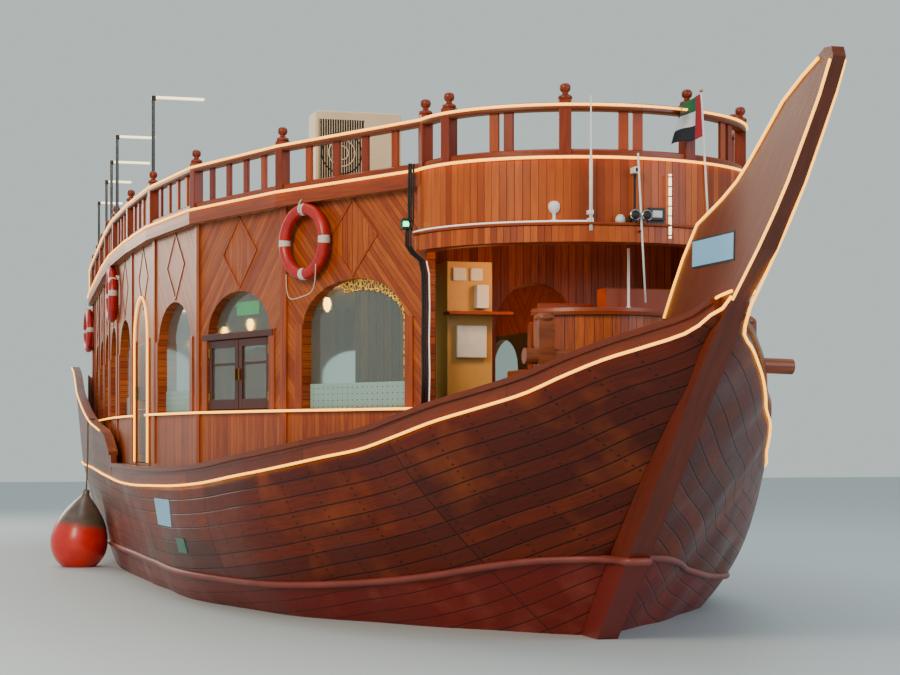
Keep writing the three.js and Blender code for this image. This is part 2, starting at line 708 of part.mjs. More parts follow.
function makeFascia() {
  const grown = (by) => ({ x: FRONT_ARC.x, long: FRONT_ARC.long + by, half: FRONT_ARC.half + by });
  const band = arcBand(grown(0), grown(-FASCIA_THICK), LEDGE_LOW, ROOF_UNDER - GAP);
  const ledge = arcBand(grown(LEDGE_PROUD), grown(-20), LEDGE_LOW, LEDGE_TOP);
  const whip = bar([WHIP.x, WHIP.y, LEDGE_TOP - 20], [WHIP.x, WHIP.y, WHIP.top], WHIP.radius, 8);
  const staff = bar([STAFF.x, STAFF.y, LEDGE_TOP - 20], [STAFF.x, STAFF.y, STAFF.top], STAFF.radius, 8);
  return join([band, ledge, whip, staff]);
}

function makeFlag() {
  const start = STAFF.radius + GAP;
  const cloth = block([-FLAG.thick / 2, FLAG.thick / 2], [-start - FLAG.wide, -start], [FLAG.low, FLAG.high]);
  cloth.rotateZ(FLAG.turn);
  cloth.translate(STAFF.x, STAFF.y, 0);
  return cloth;
}

// Railing round the upper deck, one half a side
function offsetPath(path, by) {
  return path.map(([x, y], i) => {
    const before = i > 0 ? unit(path[i - 1], path[i]) : unit(path[i], path[i + 1]);
    const after = i + 1 < path.length ? unit(path[i], path[i + 1]) : before;
    const nx = -(before[1] + after[1]);
    const ny = before[0] + after[0];
    const size = Math.hypot(nx, ny);
    const spread = (-(nx / size) * after[1]) + (ny / size) * after[0];
    return [x + ((nx / size) * by) / spread, y + ((ny / size) * by) / spread];
  });
}

function unit([ax, ay], [bx, by]) {
  const size = Math.hypot(bx - ax, by - ay);
  return [(bx - ax) / size, (by - ay) / size];
}

function strip(path, wide, low, high) {
  return raised([...offsetPath(path, wide / 2), ...offsetPath(path, -wide / 2).reverse()], low, high);
}

function legsOf(path) {
  return path.slice(1).map((to, i) => {
    const from = path[i];
    return { from, to, direction: unit(from, to), length: Math.hypot(to[0] - from[0], to[1] - from[1]) };
  });
}

function railPath(sign) {
  const inset = offsetPath(roofSide(1), -RAIL_INSET);
  const aft = ROOF_AFT_X + RAIL_INSET;
  const half = inset[0][1];
  const centre = sign > 0 ? POST.wide / 2 + 8 : -POST.wide / 2 + 12;
  const side = inset.slice(1, -1);
  const path = [[aft, centre], [aft, half], ...side, [inset[inset.length - 1][0], centre]];
  return path.map(([x, y], i) => (i === 0 || i === path.length - 1 ? [x, sign > 0 ? y : -y] : [x, y]))
    .map(([x, y]) => [x, sign * y]);
}

// An upright of the rail, turned to lie along its leg
function upright([x, y], [dx, dy], wide, deep, high) {
  const post = block([-wide / 2, wide / 2], [-deep / 2, deep / 2], [ROOF_TOP + GAP, high]);
  post.rotateZ(Math.atan2(dy, dx));
  post.translate(x, y, 0);
  return post;
}

function baluster(place, direction) {
  return upright(place, direction, BALUSTER.wide, BALUSTER.deep, RAIL_CAP.low + 10);
}

function finial([x, y]) {
  const ball = new THREE.SphereGeometry(POST.ball, 10, 8);
  ball.rotateX(Math.PI / 2);
  ball.translate(x, y, POST.top + POST.ball * 0.8);
  return ball;
}

const BALUSTERS_PER_BAY = 4;
const LONG_LEG = 1000;

// Round the bow the posts and the flat boards stand at these angles from the beam, in degrees
const BOW_POSTS = [4, 22, 68];
const BOW_BOARDS = [43, 48.5, 87.5];

function onBowRail(degrees, sign) {
  const angle = THREE.MathUtils.degToRad(degrees);
  const long = ROOF_ARC.long - RAIL_INSET;
  const half = ROOF_ARC.half - RAIL_INSET;
  const place = [ROOF_ARC.x + long * Math.sin(angle), sign * half * Math.cos(angle)];
  const way = [long * Math.cos(angle), -sign * half * Math.sin(angle)];
  const size = Math.hypot(...way);
  return { place, direction: [way[0] / size, way[1] / size] };
}

// Lamp poles stand on the starboard rail and carry a lamp arm inboard
const LAMP_POLES = [
  { x: 780, y: 3245, top: 5740, arm: 590 },
  { x: -2690, y: 3260, top: 5790, arm: 500 },
  { x: -3990, y: 3190, top: 5630, arm: 530 },
  { x: -5360, y: 3110, top: 5530, arm: 360 },
  { x: -8130, y: 2925, top: 5540, arm: 370 },
];
const POLE_RADIUS = 20;

function makeLampPoles() {
  return LAMP_POLES.flatMap(({ x, y, top, arm }) => [
    bar([x, -y, RAIL_CAP.low + 10], [x, -y, top], POLE_RADIUS, 8),
    block([x - 30, x + 30], [-y - 20, -y + arm], [top - 20, top + 25]),
  ]);
}

// Posts stand at the roof's corners, with flat balusters between them
function makeRailing(sign) {
  const path = railPath(sign);
  const parts = [
    strip(path, RAIL_FOOT.wide, ROOF_TOP + GAP, ROOF_TOP + RAIL_FOOT.high),
    strip(path, RAIL_CAP.wide, RAIL_CAP.low, RAIL_CAP.high),
  ];
  for (const degrees of BOW_POSTS) {
    const { place, direction } = onBowRail(degrees, sign);
    parts.push(upright(place, direction, POST.wide, POST.wide, POST.top), finial(place));
  }
  for (const degrees of BOW_BOARDS) {
    const { place, direction } = onBowRail(degrees, sign);
    parts.push(baluster(place, direction));
  }
  legsOf(path).forEach(({ from, direction, length }, i) => {
    const at = (k) => [from[0] + direction[0] * length * k, from[1] + direction[1] * length * k];
    if (length > LONG_LEG) {
      for (let k = 1; k <= BALUSTERS_PER_BAY; k += 1) {
        parts.push(baluster(at(k / (BALUSTERS_PER_BAY + 1)), direction));
      }
    }
    if (length > LONG_LEG && i > 0) {
      parts.push(upright(from, direction, POST.wide, POST.wide, POST.top), finial(from));
    }
  });
  if (sign < 0) {
    const aft = path[0];
    parts.push(upright([aft[0], 0], [1, 0], POST.wide, POST.wide, POST.top), finial([aft[0], 0]));
    parts.push(...makeLampPoles());
  }
  return join(parts);
}

// Nodes that turn or swing
const LEAF_CLEAR = 8;
const MID_CLEAR = 6;

function makeHatchLeaf(sign, part) {
  const opening = WALL_OPENINGS[1];
  const centre = panelFrame(opening.panel, 1).length * opening.at;
  const fore = [centre - opening.width / 2 + LEAF_CLEAR, centre - MID_CLEAR];
  const aft = [centre + MID_CLEAR, centre + opening.width / 2 - LEAF_CLEAR];
  const [u0, u1] = part === 'fore' ? fore : aft;
  const points = rectangle(u0, u1, opening.sill + LEAF_CLEAR, TRANSOM_BAR.low - LEAF_CLEAR);
  return onPanel(points, opening.panel, sign, -5 - DOOR_THICK, -5);
}

function makeSideDoor(sign) {
  const opening = WALL_OPENINGS[3];
  return onPanel(openingArch(opening, -DOOR_GAP - 2), opening.panel, sign, -5 - DOOR_THICK, -5);
}

function makeAftDoor() {
  const { x, thick, door } = BULKHEAD_AFT;
  const clear = DOOR_GAP + 2;
  const aft = x - thick / 2 + 5;
  const low = SALOON_FLOOR + clear;
  return crossArch(door.centre, door.width - 2 * clear, low, door.spring, door.top - clear, aft, aft + DOOR_THICK);
}

const RUDDER = { fore: 90, aft: 620, low: -1385, high: -330, half: 35 };

function makeRudder() {
  const { fore, aft, low, high, half } = RUDDER;
  const outline = [
    [RUDDER_X + fore, low + 60],
    [RUDDER_X + fore, high - 60],
    [RUDDER_X + fore - 40, high],
    [RUDDER_X - aft + 120, high],
    [RUDDER_X - aft, low + 180],
    [RUDDER_X - aft + 80, low],
    [RUDDER_X + fore - 60, low],
  ];
  return join([
    sideProfile(outline, half),
    bar([RUDDER_X, 0, high - 200], [RUDDER_X, 0, 450], STOCK_RADIUS, 16),
    bar([RUDDER_X, 0, low + 100], [RUDDER_X, 0, KEEL_BOTTOM + 10], PINTLE_RADIUS, 16),
  ]);
}

function makePropeller() {
  const { x, z, radius, hub, shaft } = PROP;
  const blades = [0, 1, 2, 3].map((i) => {
    const shape = new THREE.Shape();
    shape.moveTo(-50, hub - 30);
    shape.bezierCurveTo(-190, radius * 0.55, -150, radius * 0.95, 0, radius);
    shape.bezierCurveTo(150, radius * 0.95, 190, radius * 0.55, 50, hub - 30);
    const blade = new THREE.ExtrudeGeometry(shape, { depth: 16, bevelEnabled: false, curveSegments: 6 });
    blade.translate(0, 0, -8);
    blade.rotateY(Math.PI / 2 - 0.55);
    blade.rotateX((Math.PI / 2) * i);
    blade.translate(x, 0, z);
    return blade;
  });
  return join([
    bar([x - 90, 0, z], [x + 90, 0, z], hub, 20),
    bar([x - 150, 0, z], [x - 60, 0, z], hub * 0.6, 20),
    bar([x, 0, z], [POST_X + 550, 0, z], shaft, 16),
    ...blades,
  ]);
}

// Wheelhouse: its floor and the curved counter are one piece of joinery
const HELM = { foot: 1700, floor: 1960, top: 2950, thick: 90, long: 1080, half: 900, from: 7000 };
const HELM_FLOOR = { aft: 6750, fore: 7500, half: 850 };
const HELM_TOP = { thick: 50, over: 20, shelf: 160 };

function makeHelm() {
  const ring = (by) => {
    const arc = { x: FRONT_ARC.x, long: HELM.long + by, half: HELM.half + by };
    return [...arcPoints(arc, HELM.from, -1), ...arcPoints(arc, HELM.from, 1).reverse().slice(1)];
  };
  const wall = [...ring(0), ...ring(-HELM.thick).reverse()];
  const counter = [...ring(HELM_TOP.over), ...ring(-HELM.thick - HELM_TOP.shelf).reverse()];
  const { aft, fore, half } = HELM_FLOOR;
  return onDeck(join([
    raised(wall, HELM.foot, HELM.top - HELM_TOP.thick + 10),
    raised(counter, HELM.top - HELM_TOP.thick, HELM.top),
    block([aft, fore], [-half, half], [HELM.foot, HELM.floor]),
  ]));
}

// Life rings, fenders and the air-conditioning unit
const RING_BUOY = { radius: 315, tube: 60, off: 78 };
const RING_BUOYS = [
  { x: 4840, z: 3722 },
  { x: -2950, z: 3722 },
  { x: AFT_POST.x, z: 3656 },
];

function edgeAt(table, x) {
  const rows = [...table].sort((a, b) => a.x - b.x);
  const i = Math.max(1, rows.findIndex((row) => row.x >= x));
  const a = rows[i - 1];
  const b = rows[i];
  const half = a.half + ((b.half - a.half) * (x - a.x)) / (b.x - a.x);
  return { half, slope: Math.atan2(b.half - a.half, b.x - a.x) };
}

function makeLifebuoy({ x, z }, sign) {
  const onPost = { half: AFT_POST.y + AFT_POST.wide / 2, slope: 0 };
  const { half, slope } = x === AFT_POST.x ? onPost : edgeAt(HOUSE_CORNERS, x);
  const ring = new THREE.TorusGeometry(RING_BUOY.radius, RING_BUOY.tube, 10, 28);
  ring.rotateX(Math.PI / 2);
  ring.rotateZ(sign * slope);
  const off = RING_BUOY.off / Math.cos(slope);
  ring.translate(x, sign * (half + off), z);
  return ring;
}

const FENDERS = [
  { side: 'stbd', sign: -1, x: -4600, y: 3577, z: 331, radius: 400, lean: 0.14 },
  { side: 'port', sign: 1, x: 60, y: 3540, z: 247, radius: 360, lean: 0.06 },
];

// A fender's outline from its foot up to its neck, as shares of its radius: out and up
const FENDER_OUTLINE = [
  [0, -1], [0.38, -0.92], [0.71, -0.71], [0.92, -0.38], [1, 0], [0.97, 0.3], [0.87, 0.68],
  [0.67, 1.05], [0.36, 1.47], [0.15, 1.68], [0.11, 1.9], [0, 1.9],
];

function makeFender({ sign, x, y, z, radius, lean }) {
  const profile = FENDER_OUTLINE.map(([out, up]) => new THREE.Vector2(radius * out, radius * up));
  const fender = new THREE.LatheGeometry(profile, 24);
  fender.rotateX(Math.PI / 2 + sign * lean);
  fender.translate(x, sign * y, z);
  return fender;
}

const AC = { x: 3400, y: -1470, wide: 920, deep: 380, low: ROOF_TOP + GAP, high: 5220 };

function makeAcUnit() {
  const { x, y, wide, deep, low, high } = AC;
  const box = block([x - deep / 2, x + deep / 2], [y - wide / 2, y + wide / 2], [low + 60, high]);
  const feet = [-0.3, 0.3].map((k) => {
    const middle = y + wide * k;
    return block([x - deep / 2 + 20, x + deep / 2 - 20], [middle - 30, middle + 30], [low, low + 70]);
  });
  return join([box, ...feet]);
}

// Nodes of the boat
const boat = new THREE.Group();

function add(name, geometry, material) {
  const mesh = new THREE.Mesh(geometry, material);
  mesh.name = name;
  boat.add(mesh);
  return mesh;
}

add('hull', makeHull(), MATERIAL.hull);
add('keel_stem_prow', makeKeelAndStem(), MATERIAL.timber);
add('taffrail', makeTaffrail(), MATERIAL.timber);
add('cross_beam', makeCrossBeam(), MATERIAL.timber);
add('saloon_floor', makeSaloonFloor(), MATERIAL.deck);
add('bulkhead_fore', bulkhead(BULKHEAD_FORE, []), MATERIAL.teak);
add('bulkhead_aft', bulkhead(BULKHEAD_AFT, AFT_WINDOWS), MATERIAL.teak);
add('upper_deck', makeUpperDeck(), MATERIAL.deck);
add('fascia', makeFascia(), MATERIAL.teak);
add('flag', makeFlag(), MATERIAL.red);
add('helm', makeHelm(), MATERIAL.teak);
add('ac_unit', makeAcUnit(), MATERIAL.cream);
add('rudder', makeRudder(), MATERIAL.hull);
add('propeller', makePropeller(), MATERIAL.bronze);
add('aft_door', makeAftDoor(), MATERIAL.teak);

for (const { side, sign } of SIDES) {
  add(`bulwark_${side}`, makeBulwark(sign), MATERIAL.timber);
  add(`wall_fore_${side}`, wallRun(0, 2, sign), MATERIAL.teak);
  add(`wall_mid_${side}`, wallRun(2, 4, sign), MATERIAL.teak);
  add(`wall_aft_${side}`, wallRun(4, 9, sign), MATERIAL.teak);
  add(`glazing_fore_${side}`, glazing(0, 2, sign), MATERIAL.glass);
  add(`glazing_mid_${side}`, glazing(2, 3, sign), MATERIAL.glass);
  add(`glazing_aft_${side}`, glazing(4, 9, sign), MATERIAL.glass);
  add(`railing_${side}`, makeRailing(sign), MATERIAL.teak);
  add(`hatch_fore_${side}`, makeHatchLeaf(sign, 'fore'), MATERIAL.teak);
  add(`hatch_aft_${side}`, makeHatchLeaf(sign, 'aft'), MATERIAL.teak);
  add(`side_door_${side}`, makeSideDoor(sign), MATERIAL.teak);
  RING_BUOYS.forEach((buoy, i) => {
    add(`lifebuoy_${i + 1}_${side}`, makeLifebuoy(buoy, sign), MATERIAL.red);
  });
}

for (const fender of FENDERS) {
  add(`fender_${fender.side}`, makeFender(fender), MATERIAL.red);
}

export default boat;
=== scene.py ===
import math
from functools import partial

import bmesh
import bpy
from mathutils import Matrix, Vector


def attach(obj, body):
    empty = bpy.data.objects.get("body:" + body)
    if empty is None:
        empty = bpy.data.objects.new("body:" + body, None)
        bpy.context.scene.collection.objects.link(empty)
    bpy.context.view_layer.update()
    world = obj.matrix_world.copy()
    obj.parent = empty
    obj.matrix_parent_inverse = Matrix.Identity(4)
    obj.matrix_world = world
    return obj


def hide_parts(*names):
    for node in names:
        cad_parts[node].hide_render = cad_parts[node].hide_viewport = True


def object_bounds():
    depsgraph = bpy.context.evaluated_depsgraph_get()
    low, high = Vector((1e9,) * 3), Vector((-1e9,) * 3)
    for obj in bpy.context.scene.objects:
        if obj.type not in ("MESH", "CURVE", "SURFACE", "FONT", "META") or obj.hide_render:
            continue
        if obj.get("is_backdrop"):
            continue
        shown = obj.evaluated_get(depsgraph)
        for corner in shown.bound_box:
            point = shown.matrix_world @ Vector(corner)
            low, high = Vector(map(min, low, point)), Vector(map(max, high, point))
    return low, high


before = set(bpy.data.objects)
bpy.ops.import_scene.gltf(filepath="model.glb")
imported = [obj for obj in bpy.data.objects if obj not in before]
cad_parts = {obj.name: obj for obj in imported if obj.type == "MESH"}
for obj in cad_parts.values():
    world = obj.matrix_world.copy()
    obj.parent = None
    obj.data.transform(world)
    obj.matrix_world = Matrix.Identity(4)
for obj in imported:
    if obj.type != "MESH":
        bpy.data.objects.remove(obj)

CAD_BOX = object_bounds()
scene = bpy.context.scene


# Camera and studio
# The camera stands 24 m ahead of midships, a little to starboard, with a short telephoto lens held
# level. The floor lies at the waterline, and the studio light is soft, with one warm key from the
# starboard bow.
camera_data = bpy.data.cameras.new("camera")
camera_data.lens = 80
camera_data.sensor_width = 36
camera_data.shift_y = 0.1117
camera_data.clip_end = 200
camera = bpy.data.objects.new("camera", camera_data)
camera.location = (23.95, -6.32, 1.81)
camera.rotation_euler = (math.radians(90), 0, math.radians(74))
scene.collection.objects.link(camera)
scene.camera = camera

LIGHTS = (
    # name, place, aimed at, size, power, colour
    ("key", (18, -16, 13), (0, -2, 2), 8, 3600, "#ffe6c8"),
    ("fill", (20, 12, 8), (4, 2, 2), 9, 1300, "#dfeaff"),
    ("top", (-2, 0, 16), (0, 0, 2), 14, 1500, "#eef3ff"),
    ("back", (-20, -10, 9), (-4, 0, 3), 9, 1500, "#ffe9d2"),
)
LAMP_LIGHTS = (
    # name, place, power: warm lamps inside the saloon and over the helm
    ("saloon_fore", (4.4, -0.4, 3.5), 70),
    ("saloon_mid", (1.0, 0, 3.5), 60),
    ("saloon_aft", (-4.5, 0, 3.5), 90),
    ("helm_lamp", (6.75, -0.55, 3.38), 26),
)


def linear(hex_colour):
    values = [int(hex_colour[i:i + 2], 16) / 255 for i in (1, 3, 5)]
    return tuple(v / 12.92 if v <= 0.04045 else ((v + 0.055) / 1.055) ** 2.4 for v in values) + (1,)


def new_light(name, kind, place, power, colour):
    light = bpy.data.objects.new(name, bpy.data.lights.new(name, kind))
    light.data.energy = power
    light.data.color = linear(colour)[:3]
    light.location = place
    scene.collection.objects.link(light)
    return light


for name, place, aim, size, power, colour in LIGHTS:
    light = new_light(name, "AREA", place, power, colour)
    light.data.size = size
    light.rotation_euler = (Vector(aim) - Vector(place)).to_track_quat("-Z", "Y").to_euler()
for name, place, power in LAMP_LIGHTS:
    light = new_light(name, "POINT", place, power, "#ffb866")
    light.data.shadow_soft_size = 0.15
    light.visible_camera = False
    light.visible_transmission = False
    light.visible_glossy = False


def feed(node, *values, **named):
    """Feed a node's open sockets in their order, or by name with _ for a space. A value is a number,
    a hex colour, a socket, or a node whose first open output is meant. A lower-case name is one of
    the node's settings."""
    for key, value in named.items():
        if key[0].islower():
            setattr(node, key, value)
    pairs = list(zip([socket for socket in node.inputs if socket.enabled], values))
    pairs += [(node.inputs[key.replace("_", " ")], value) for key, value in named.items() if key[0].isupper()]
    for socket, value in pairs:
        if isinstance(value, bpy.types.Node):
            value = next(output for output in value.outputs if output.enabled)
        if isinstance(value, bpy.types.NodeSocket):
            node.id_data.links.new(value, socket)
        else:
            socket.default_value = linear(value) if str(value).startswith("#") else value
    return node


def add_node(tree, kind, *values, **named):
    return feed(tree.nodes.new("ShaderNode" + kind), *values, **named)


def new_material(name, roughness=0.5, metallic=0.0, ior=1.5, coat=0.0, **named):
    """A material, the function that adds a node to it, and its shader."""
    material = bpy.data.materials.new(name)
    material.use_nodes = True
    shader = feed(material.node_tree.nodes["Principled BSDF"], Roughness=roughness, Metallic=metallic,
                  IOR=ior, Coat_Weight=coat, Coat_Roughness=0.12, **named)
    return material, partial(add_node, material.node_tree), shader


def put_mesh(name, vertices, faces, material=None, smooth=True, uvs=None):
    mesh = bpy.data.meshes.new(name)
    mesh.from_pydata([tuple(v) for v in vertices], [], faces)
    if uvs is not None:
        layer = mesh.uv_layers.new(name="UVMap")
        for loop in mesh.loops:
            layer.data[loop.index].uv = uvs[loop.vertex_index]
    mesh.polygons.foreach_set("use_smooth", [smooth] * len(mesh.polygons))
    if material:
        mesh.materials.append(material)
    piece = bpy.data.objects.new(name, mesh)
    scene.collection.objects.link(piece)
    return piece


world = bpy.data.worlds.new("studio")
world.use_nodes = True
feed(world.node_tree.nodes["Background"], Color="#d2dfdd", Strength=0.9)
scene.world = world

FLOOR_HALF = 60
floor_material = new_material("pale_floor", 0.55, Base_Color="#b9c4c8")[0]
corners = [(FLOOR_HALF * x, FLOOR_HALF * y, 0) for x, y in ((-1, -1), (1, -1), (1, 1), (-1, 1))]
floor = put_mesh("floor", corners, [(0, 1, 2, 3)], floor_material)
floor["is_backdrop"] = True


# Hull planking
# Long teak planks run from stern to stem, fastened with iron nails, and are oiled and varnished
# until they are almost black where weather has worked in. Below the boot rail they are painted
# with a red antifouling that has faded to pink.
STERN = -11.10
BOW = 9.74
STEM_HALF = 0.10
SALOON_DECK = 1.15
FOREDECK_START = 6.68
FOREDECK_DROP = 0.20
BULWARK_THICK = 0.07
TRANSOM_RAKE = 0.36
WING_RAKE = 0.17
PLANK_WIDE = 0.155
SECTION_STEPS = 44
STATIONS = (
    # x, sheer half breadth, lit line, bottom of planking, fullness, boot rail, drawing in
    (-11.10, 2.880, 1.400, -0.05, 10, 0.300, 0.12),
    (-10.60, 2.930, 1.400, -0.10, 10, 0.302, 0.13),
    (-10.00, 2.980, 1.400, -0.17, 9, 0.304, 0.145),
    (-9.00, 3.070, 1.400, -0.30, 8, 0.308, 0.17),
    (-8.00, 3.160, 1.400, -0.53, 7, 0.312, 0.185),
    (-7.00, 3.230, 1.400, -0.78, 7, 0.316, 0.185),
    (-6.00, 3.290, 1.398, -0.98, 7, 0.320, 0.18),
    (-5.00, 3.340, 1.390, -1.10, 7, 0.325, 0.165),
    (-4.10, 3.376, 1.368, -1.19, 7, 0.328, 0.17),
    (-2.80, 3.400, 1.322, -1.24, 7, 0.330, 0.19),
    (-1.00, 3.400, 1.262, -1.25, 7, 0.326, 0.22),
    (0.00, 3.370, 1.253, -1.25, 5.5, 0.322, 0.21),
    (1.00, 3.320, 1.267, -1.25, 4.4, 0.320, 0.14),
    (2.00, 3.222, 1.285, -1.25, 3.3, 0.320, 0.05),
    (3.00, 3.068, 1.331, -1.25, 2.65, 0.320, 0.02),
    (4.00, 2.841, 1.429, -1.25, 2.35, 0.333, 0),
    (4.50, 2.682, 1.485, -1.25, 1.95, 0.356, 0),
    (5.00, 2.496, 1.551, -1.25, 1.5, 0.400, 0),
    (5.50, 2.263, 1.630, -1.10, 1.33, 0.458, 0),
    (6.00, 2.037, 1.703, -0.65, 1.15, 0.550, 0),
    (6.50, 1.829, 1.821, -0.15, 1.2, 0.645, 0),
    (7.00, 1.602, 1.954, 0.40, 1.3, 0.720, 0),
    (7.50, 1.330, 2.070, 0.90, 1.3, 0.745, 0),
    (8.00, 1.091, 2.181, 1.35, 1.3, 0.745, 0),
    (8.40, 0.880, 2.320, 1.69, 1.3, 0.745, 0),
    (8.80, 0.642, 2.453, 2.00, 1.3, 0.745, 0),
    (9.10, 0.468, 2.525, 2.20, 1.3, 0.745, 0),
    (9.50, 0.208, 2.646, 2.60, 1.3, 0.745, 0),
    (9.75, 0.130, 2.770, 2.73, 1.3, 0.745, 0),
)


def along(rows, x, column=1):
    """A value from a table of stations, on a smooth curve through its rows."""
    if x <= rows[0][0]:
        return rows[0][column]
    if x >= rows[-1][0]:
        return rows[-1][column]
    i = max(k for k in range(len(rows) - 1) if rows[k][0] <= x)

    def rise(k):
        return (rows[k + 1][column] - rows[k][column]) / (rows[k + 1][0] - rows[k][0])

    def slope(k):
        if k <= 0 or k >= len(rows) - 1:
            return rise(min(k, len(rows) - 2))
        left, right = rise(k - 1), rise(k)
        return 0 if left * right <= 0 else 2 * left * right / (left + right)

    step = rows[i + 1][0] - rows[i][0]
    t = (x - rows[i][0]) / step
    return (
        (2 * t**3 - 3 * t**2 + 1) * rows[i][column]
        + (t**3 - 2 * t**2 + t) * step * slope(i)
        + (-2 * t**3 + 3 * t**2) * rows[i + 1][column]
        + (t**3 - t**2) * step * slope(i + 1)
    )


def sheer_half(x):
    return along(STATIONS, x, 1)


def lit_line(x):
    return along(STATIONS, x, 2)


def side_half(x, z):
    low = along(STATIONS, x, 3)
    share = min(max((z - low) / (lit_line(x) - low), 0), 1)
    round_in = 1 - (1 - share) ** along(STATIONS, x, 4)
    return STEM_HALF + (sheer_half(x) - STEM_HALF) * round_in * (1 - along(STATIONS, x, 6) * (1 - share))


def stern_lean(x, z):
    """How far the raked stern moves a point of the aftmost metre, so the rake fades in."""
    rise = lit_line(x) - z
    fade = max(0, 1 - (x - STERN) / 0.5)
    return fade * rise * (TRANSOM_RAKE if rise > 0 else WING_RAKE)


def spread(first, last, count):
    return [first + (last - first) * i / (count - 1) for i in range(count)]


def run_along(points):
    """How far each point of a line lies from its start."""
    run = [0.0]
    for a, b in zip(points, points[1:]):
        run.append(run[-1] + (Vector(b) - Vector(a)).length)
    return run


def skin(rings, close_ends=True):
    """Vertices and faces of a closed skin over rings that have the same number of points."""
    count = len(rings[0])
    vertices = [point for ring in rings for point in ring]
    faces = []
    for i in range(len(rings) - 1):
        for j in range(count):
            k = (j + 1) % count
            faces.append((i * count + j, i * count + k, (i + 1) * count + k, (i + 1) * count + j))
    if close_ends:
        faces.append(tuple(range(count))[::-1])
        faces.append(tuple((len(rings) - 1) * count + j for j in range(count)))
    return vertices, faces


def face_out(piece, weld=True):
    work = bmesh.new()
    work.from_mesh(piece.data)
    if weld:
        bmesh.ops.remove_doubles(work, verts=work.verts, dist=1e-5)
    bmesh.ops.recalc_face_normals(work, faces=work.faces)
    work.to_mesh(piece.data)
    work.free()
    return piece


def put_on(piece, body="boat", replaces=None):
    """The body that carries a piece, and the CAD node whose place it takes."""
    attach(piece, body)
    if replaces:
        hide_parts(replaces)
    return piece


def hull_ring(x):
    low = along(STATIONS, x, 3)
    lit = lit_line(x)
    deck = max(SALOON_DECK if x < FOREDECK_START else lit - FOREDECK_DROP, low)
    heights = [low + (lit - low) * (i / SECTION_STEPS) ** 1.25 for i in range(SECTION_STEPS + 1)]
    port = [(x + stern_lean(x, z), side_half(x, z), z) for z in heights]
    for half, z in ((sheer_half(x), lit), (side_half(x, deck), deck)):
        port.append((x + stern_lean(x, z), max(half - BULWARK_THICK, 0.03), z))
    return port + [(px, -py, pz) for px, py, pz in reversed(port)]


rings = [hull_ring(x) for x in spread(STERN, BOW, 260)]
hull_uv = []
for ring in rings:
    half_ring = ring[:len(ring) // 2]
    run = run_along(half_ring)
    side = [(point[0], run[SECTION_STEPS] - r) for point, r in zip(half_ring, run)]
    hull_uv += side + side[::-1]


def plank_colour(node, long_way, across, plank_wide, plank_long):
    """Nodes that give each plank its own shade, and the distance to its nearest seam or butt."""
    row = node("Math", across, plank_wide, operation="DIVIDE")
    row_number = node("Math", row, operation="FLOOR")
    shifted = node("Math", row_number, 0.37 * plank_long * 2.7, long_way, operation="MULTIPLY_ADD")
    piece = node("Math", shifted, plank_long, operation="DIVIDE")
    key = node("CombineXYZ", row_number, node("Math", piece, operation="FLOOR"))
    shade = node("TexWhiteNoise", key, noise_dimensions="2D")
    distances = []
    for count, size in ((row, plank_wide), (piece, plank_long)):
        from_edge = node("Math", node("Math", count, operation="FRACT"), 0.5, operation="PINGPONG")
        distances.append(node("Math", from_edge, size, operation="MULTIPLY"))
    return shade, node("Math", *distances, operation="MINIMUM")


def grain(node, vector, along_scale, across_scale, detail=5.0):
    """Long streaks of grain: noise squeezed along the plank."""
    stretched = node("Mapping", vector, Scale=(along_scale, across_scale, across_scale))
    return node("TexNoise", stretched, 1.0, detail, 0.62)


# Oiled teak under old varnish: deep red brown, dark in the seams, with worn pale patches. Planks
# are 155 mm wide and about 3.2 m long, with a caulked seam 11 mm across.
hull_wood, node, shader = new_material("oiled_teak_planking", 0.42, coat=0.04, Specular_IOR_Level=0.22)
on = node("TexCoord").outputs
u, v, _ = node("SeparateXYZ", on["UV"]).outputs
x, _, z = node("SeparateXYZ", on["Object"]).outputs
shade, seam_distance = plank_colour(node, u, v, PLANK_WIDE, 3.2)
grain_value = grain(node, on["UV"], 3.0, 42.0)
plank_tone = node("Mix", shade, "#541303", "#8a2e0a", data_type="RGBA")
grained = node("Mix", grain_value, "#320a02", plank_tone, data_type="RGBA")
blotch = node("TexNoise", on["Object"], 1.7, 6.0)
worn = node("MapRange", blotch, 0.52, 0.72, 0.0, 0.55)
weathered = node("Mix", worn, grained, "#904216", data_type="RGBA")
aft_share = node("MapRange", x, -0.5, -7.5, -0.25, 0.62)
patchy = node("MapRange", blotch, 0.35, 0.65, -0.18, 0.18)
bleached = node("Math", aft_share, patchy, operation="ADD", use_clamp=True)
weathered = node("Mix", bleached, weathered, "#93796a", data_type="RGBA")
seam = node("MapRange", seam_distance, 0.0, 0.011, 1.0, 0.0, interpolation_type="SMOOTHSTEP")
planked = node("Mix", seam, weathered, "#120301", data_type="RGBA")
# Iron nails hold each plank to the frames in pairs, 420 mm apart, and stain the wood round them
nail_offsets = []
for socket, step in ((u, 0.42), (v, PLANK_WIDE / 2)):
    share = node("Math", node("Math", socket, step, operation="DIVIDE"), operation="FRACT")
    nail_offsets.append(node("Math", share, step, -step / 2, operation="MULTIPLY_ADD"))
nail_reach = node("VectorMath", node("CombineXYZ", *nail_offsets), operation="LENGTH")
nail = node("MapRange", nail_reach, 0.008, 0.017, 0.8, 0.0)
planked = node("Mix", nail, planked, "#150602", data_type="RGBA")
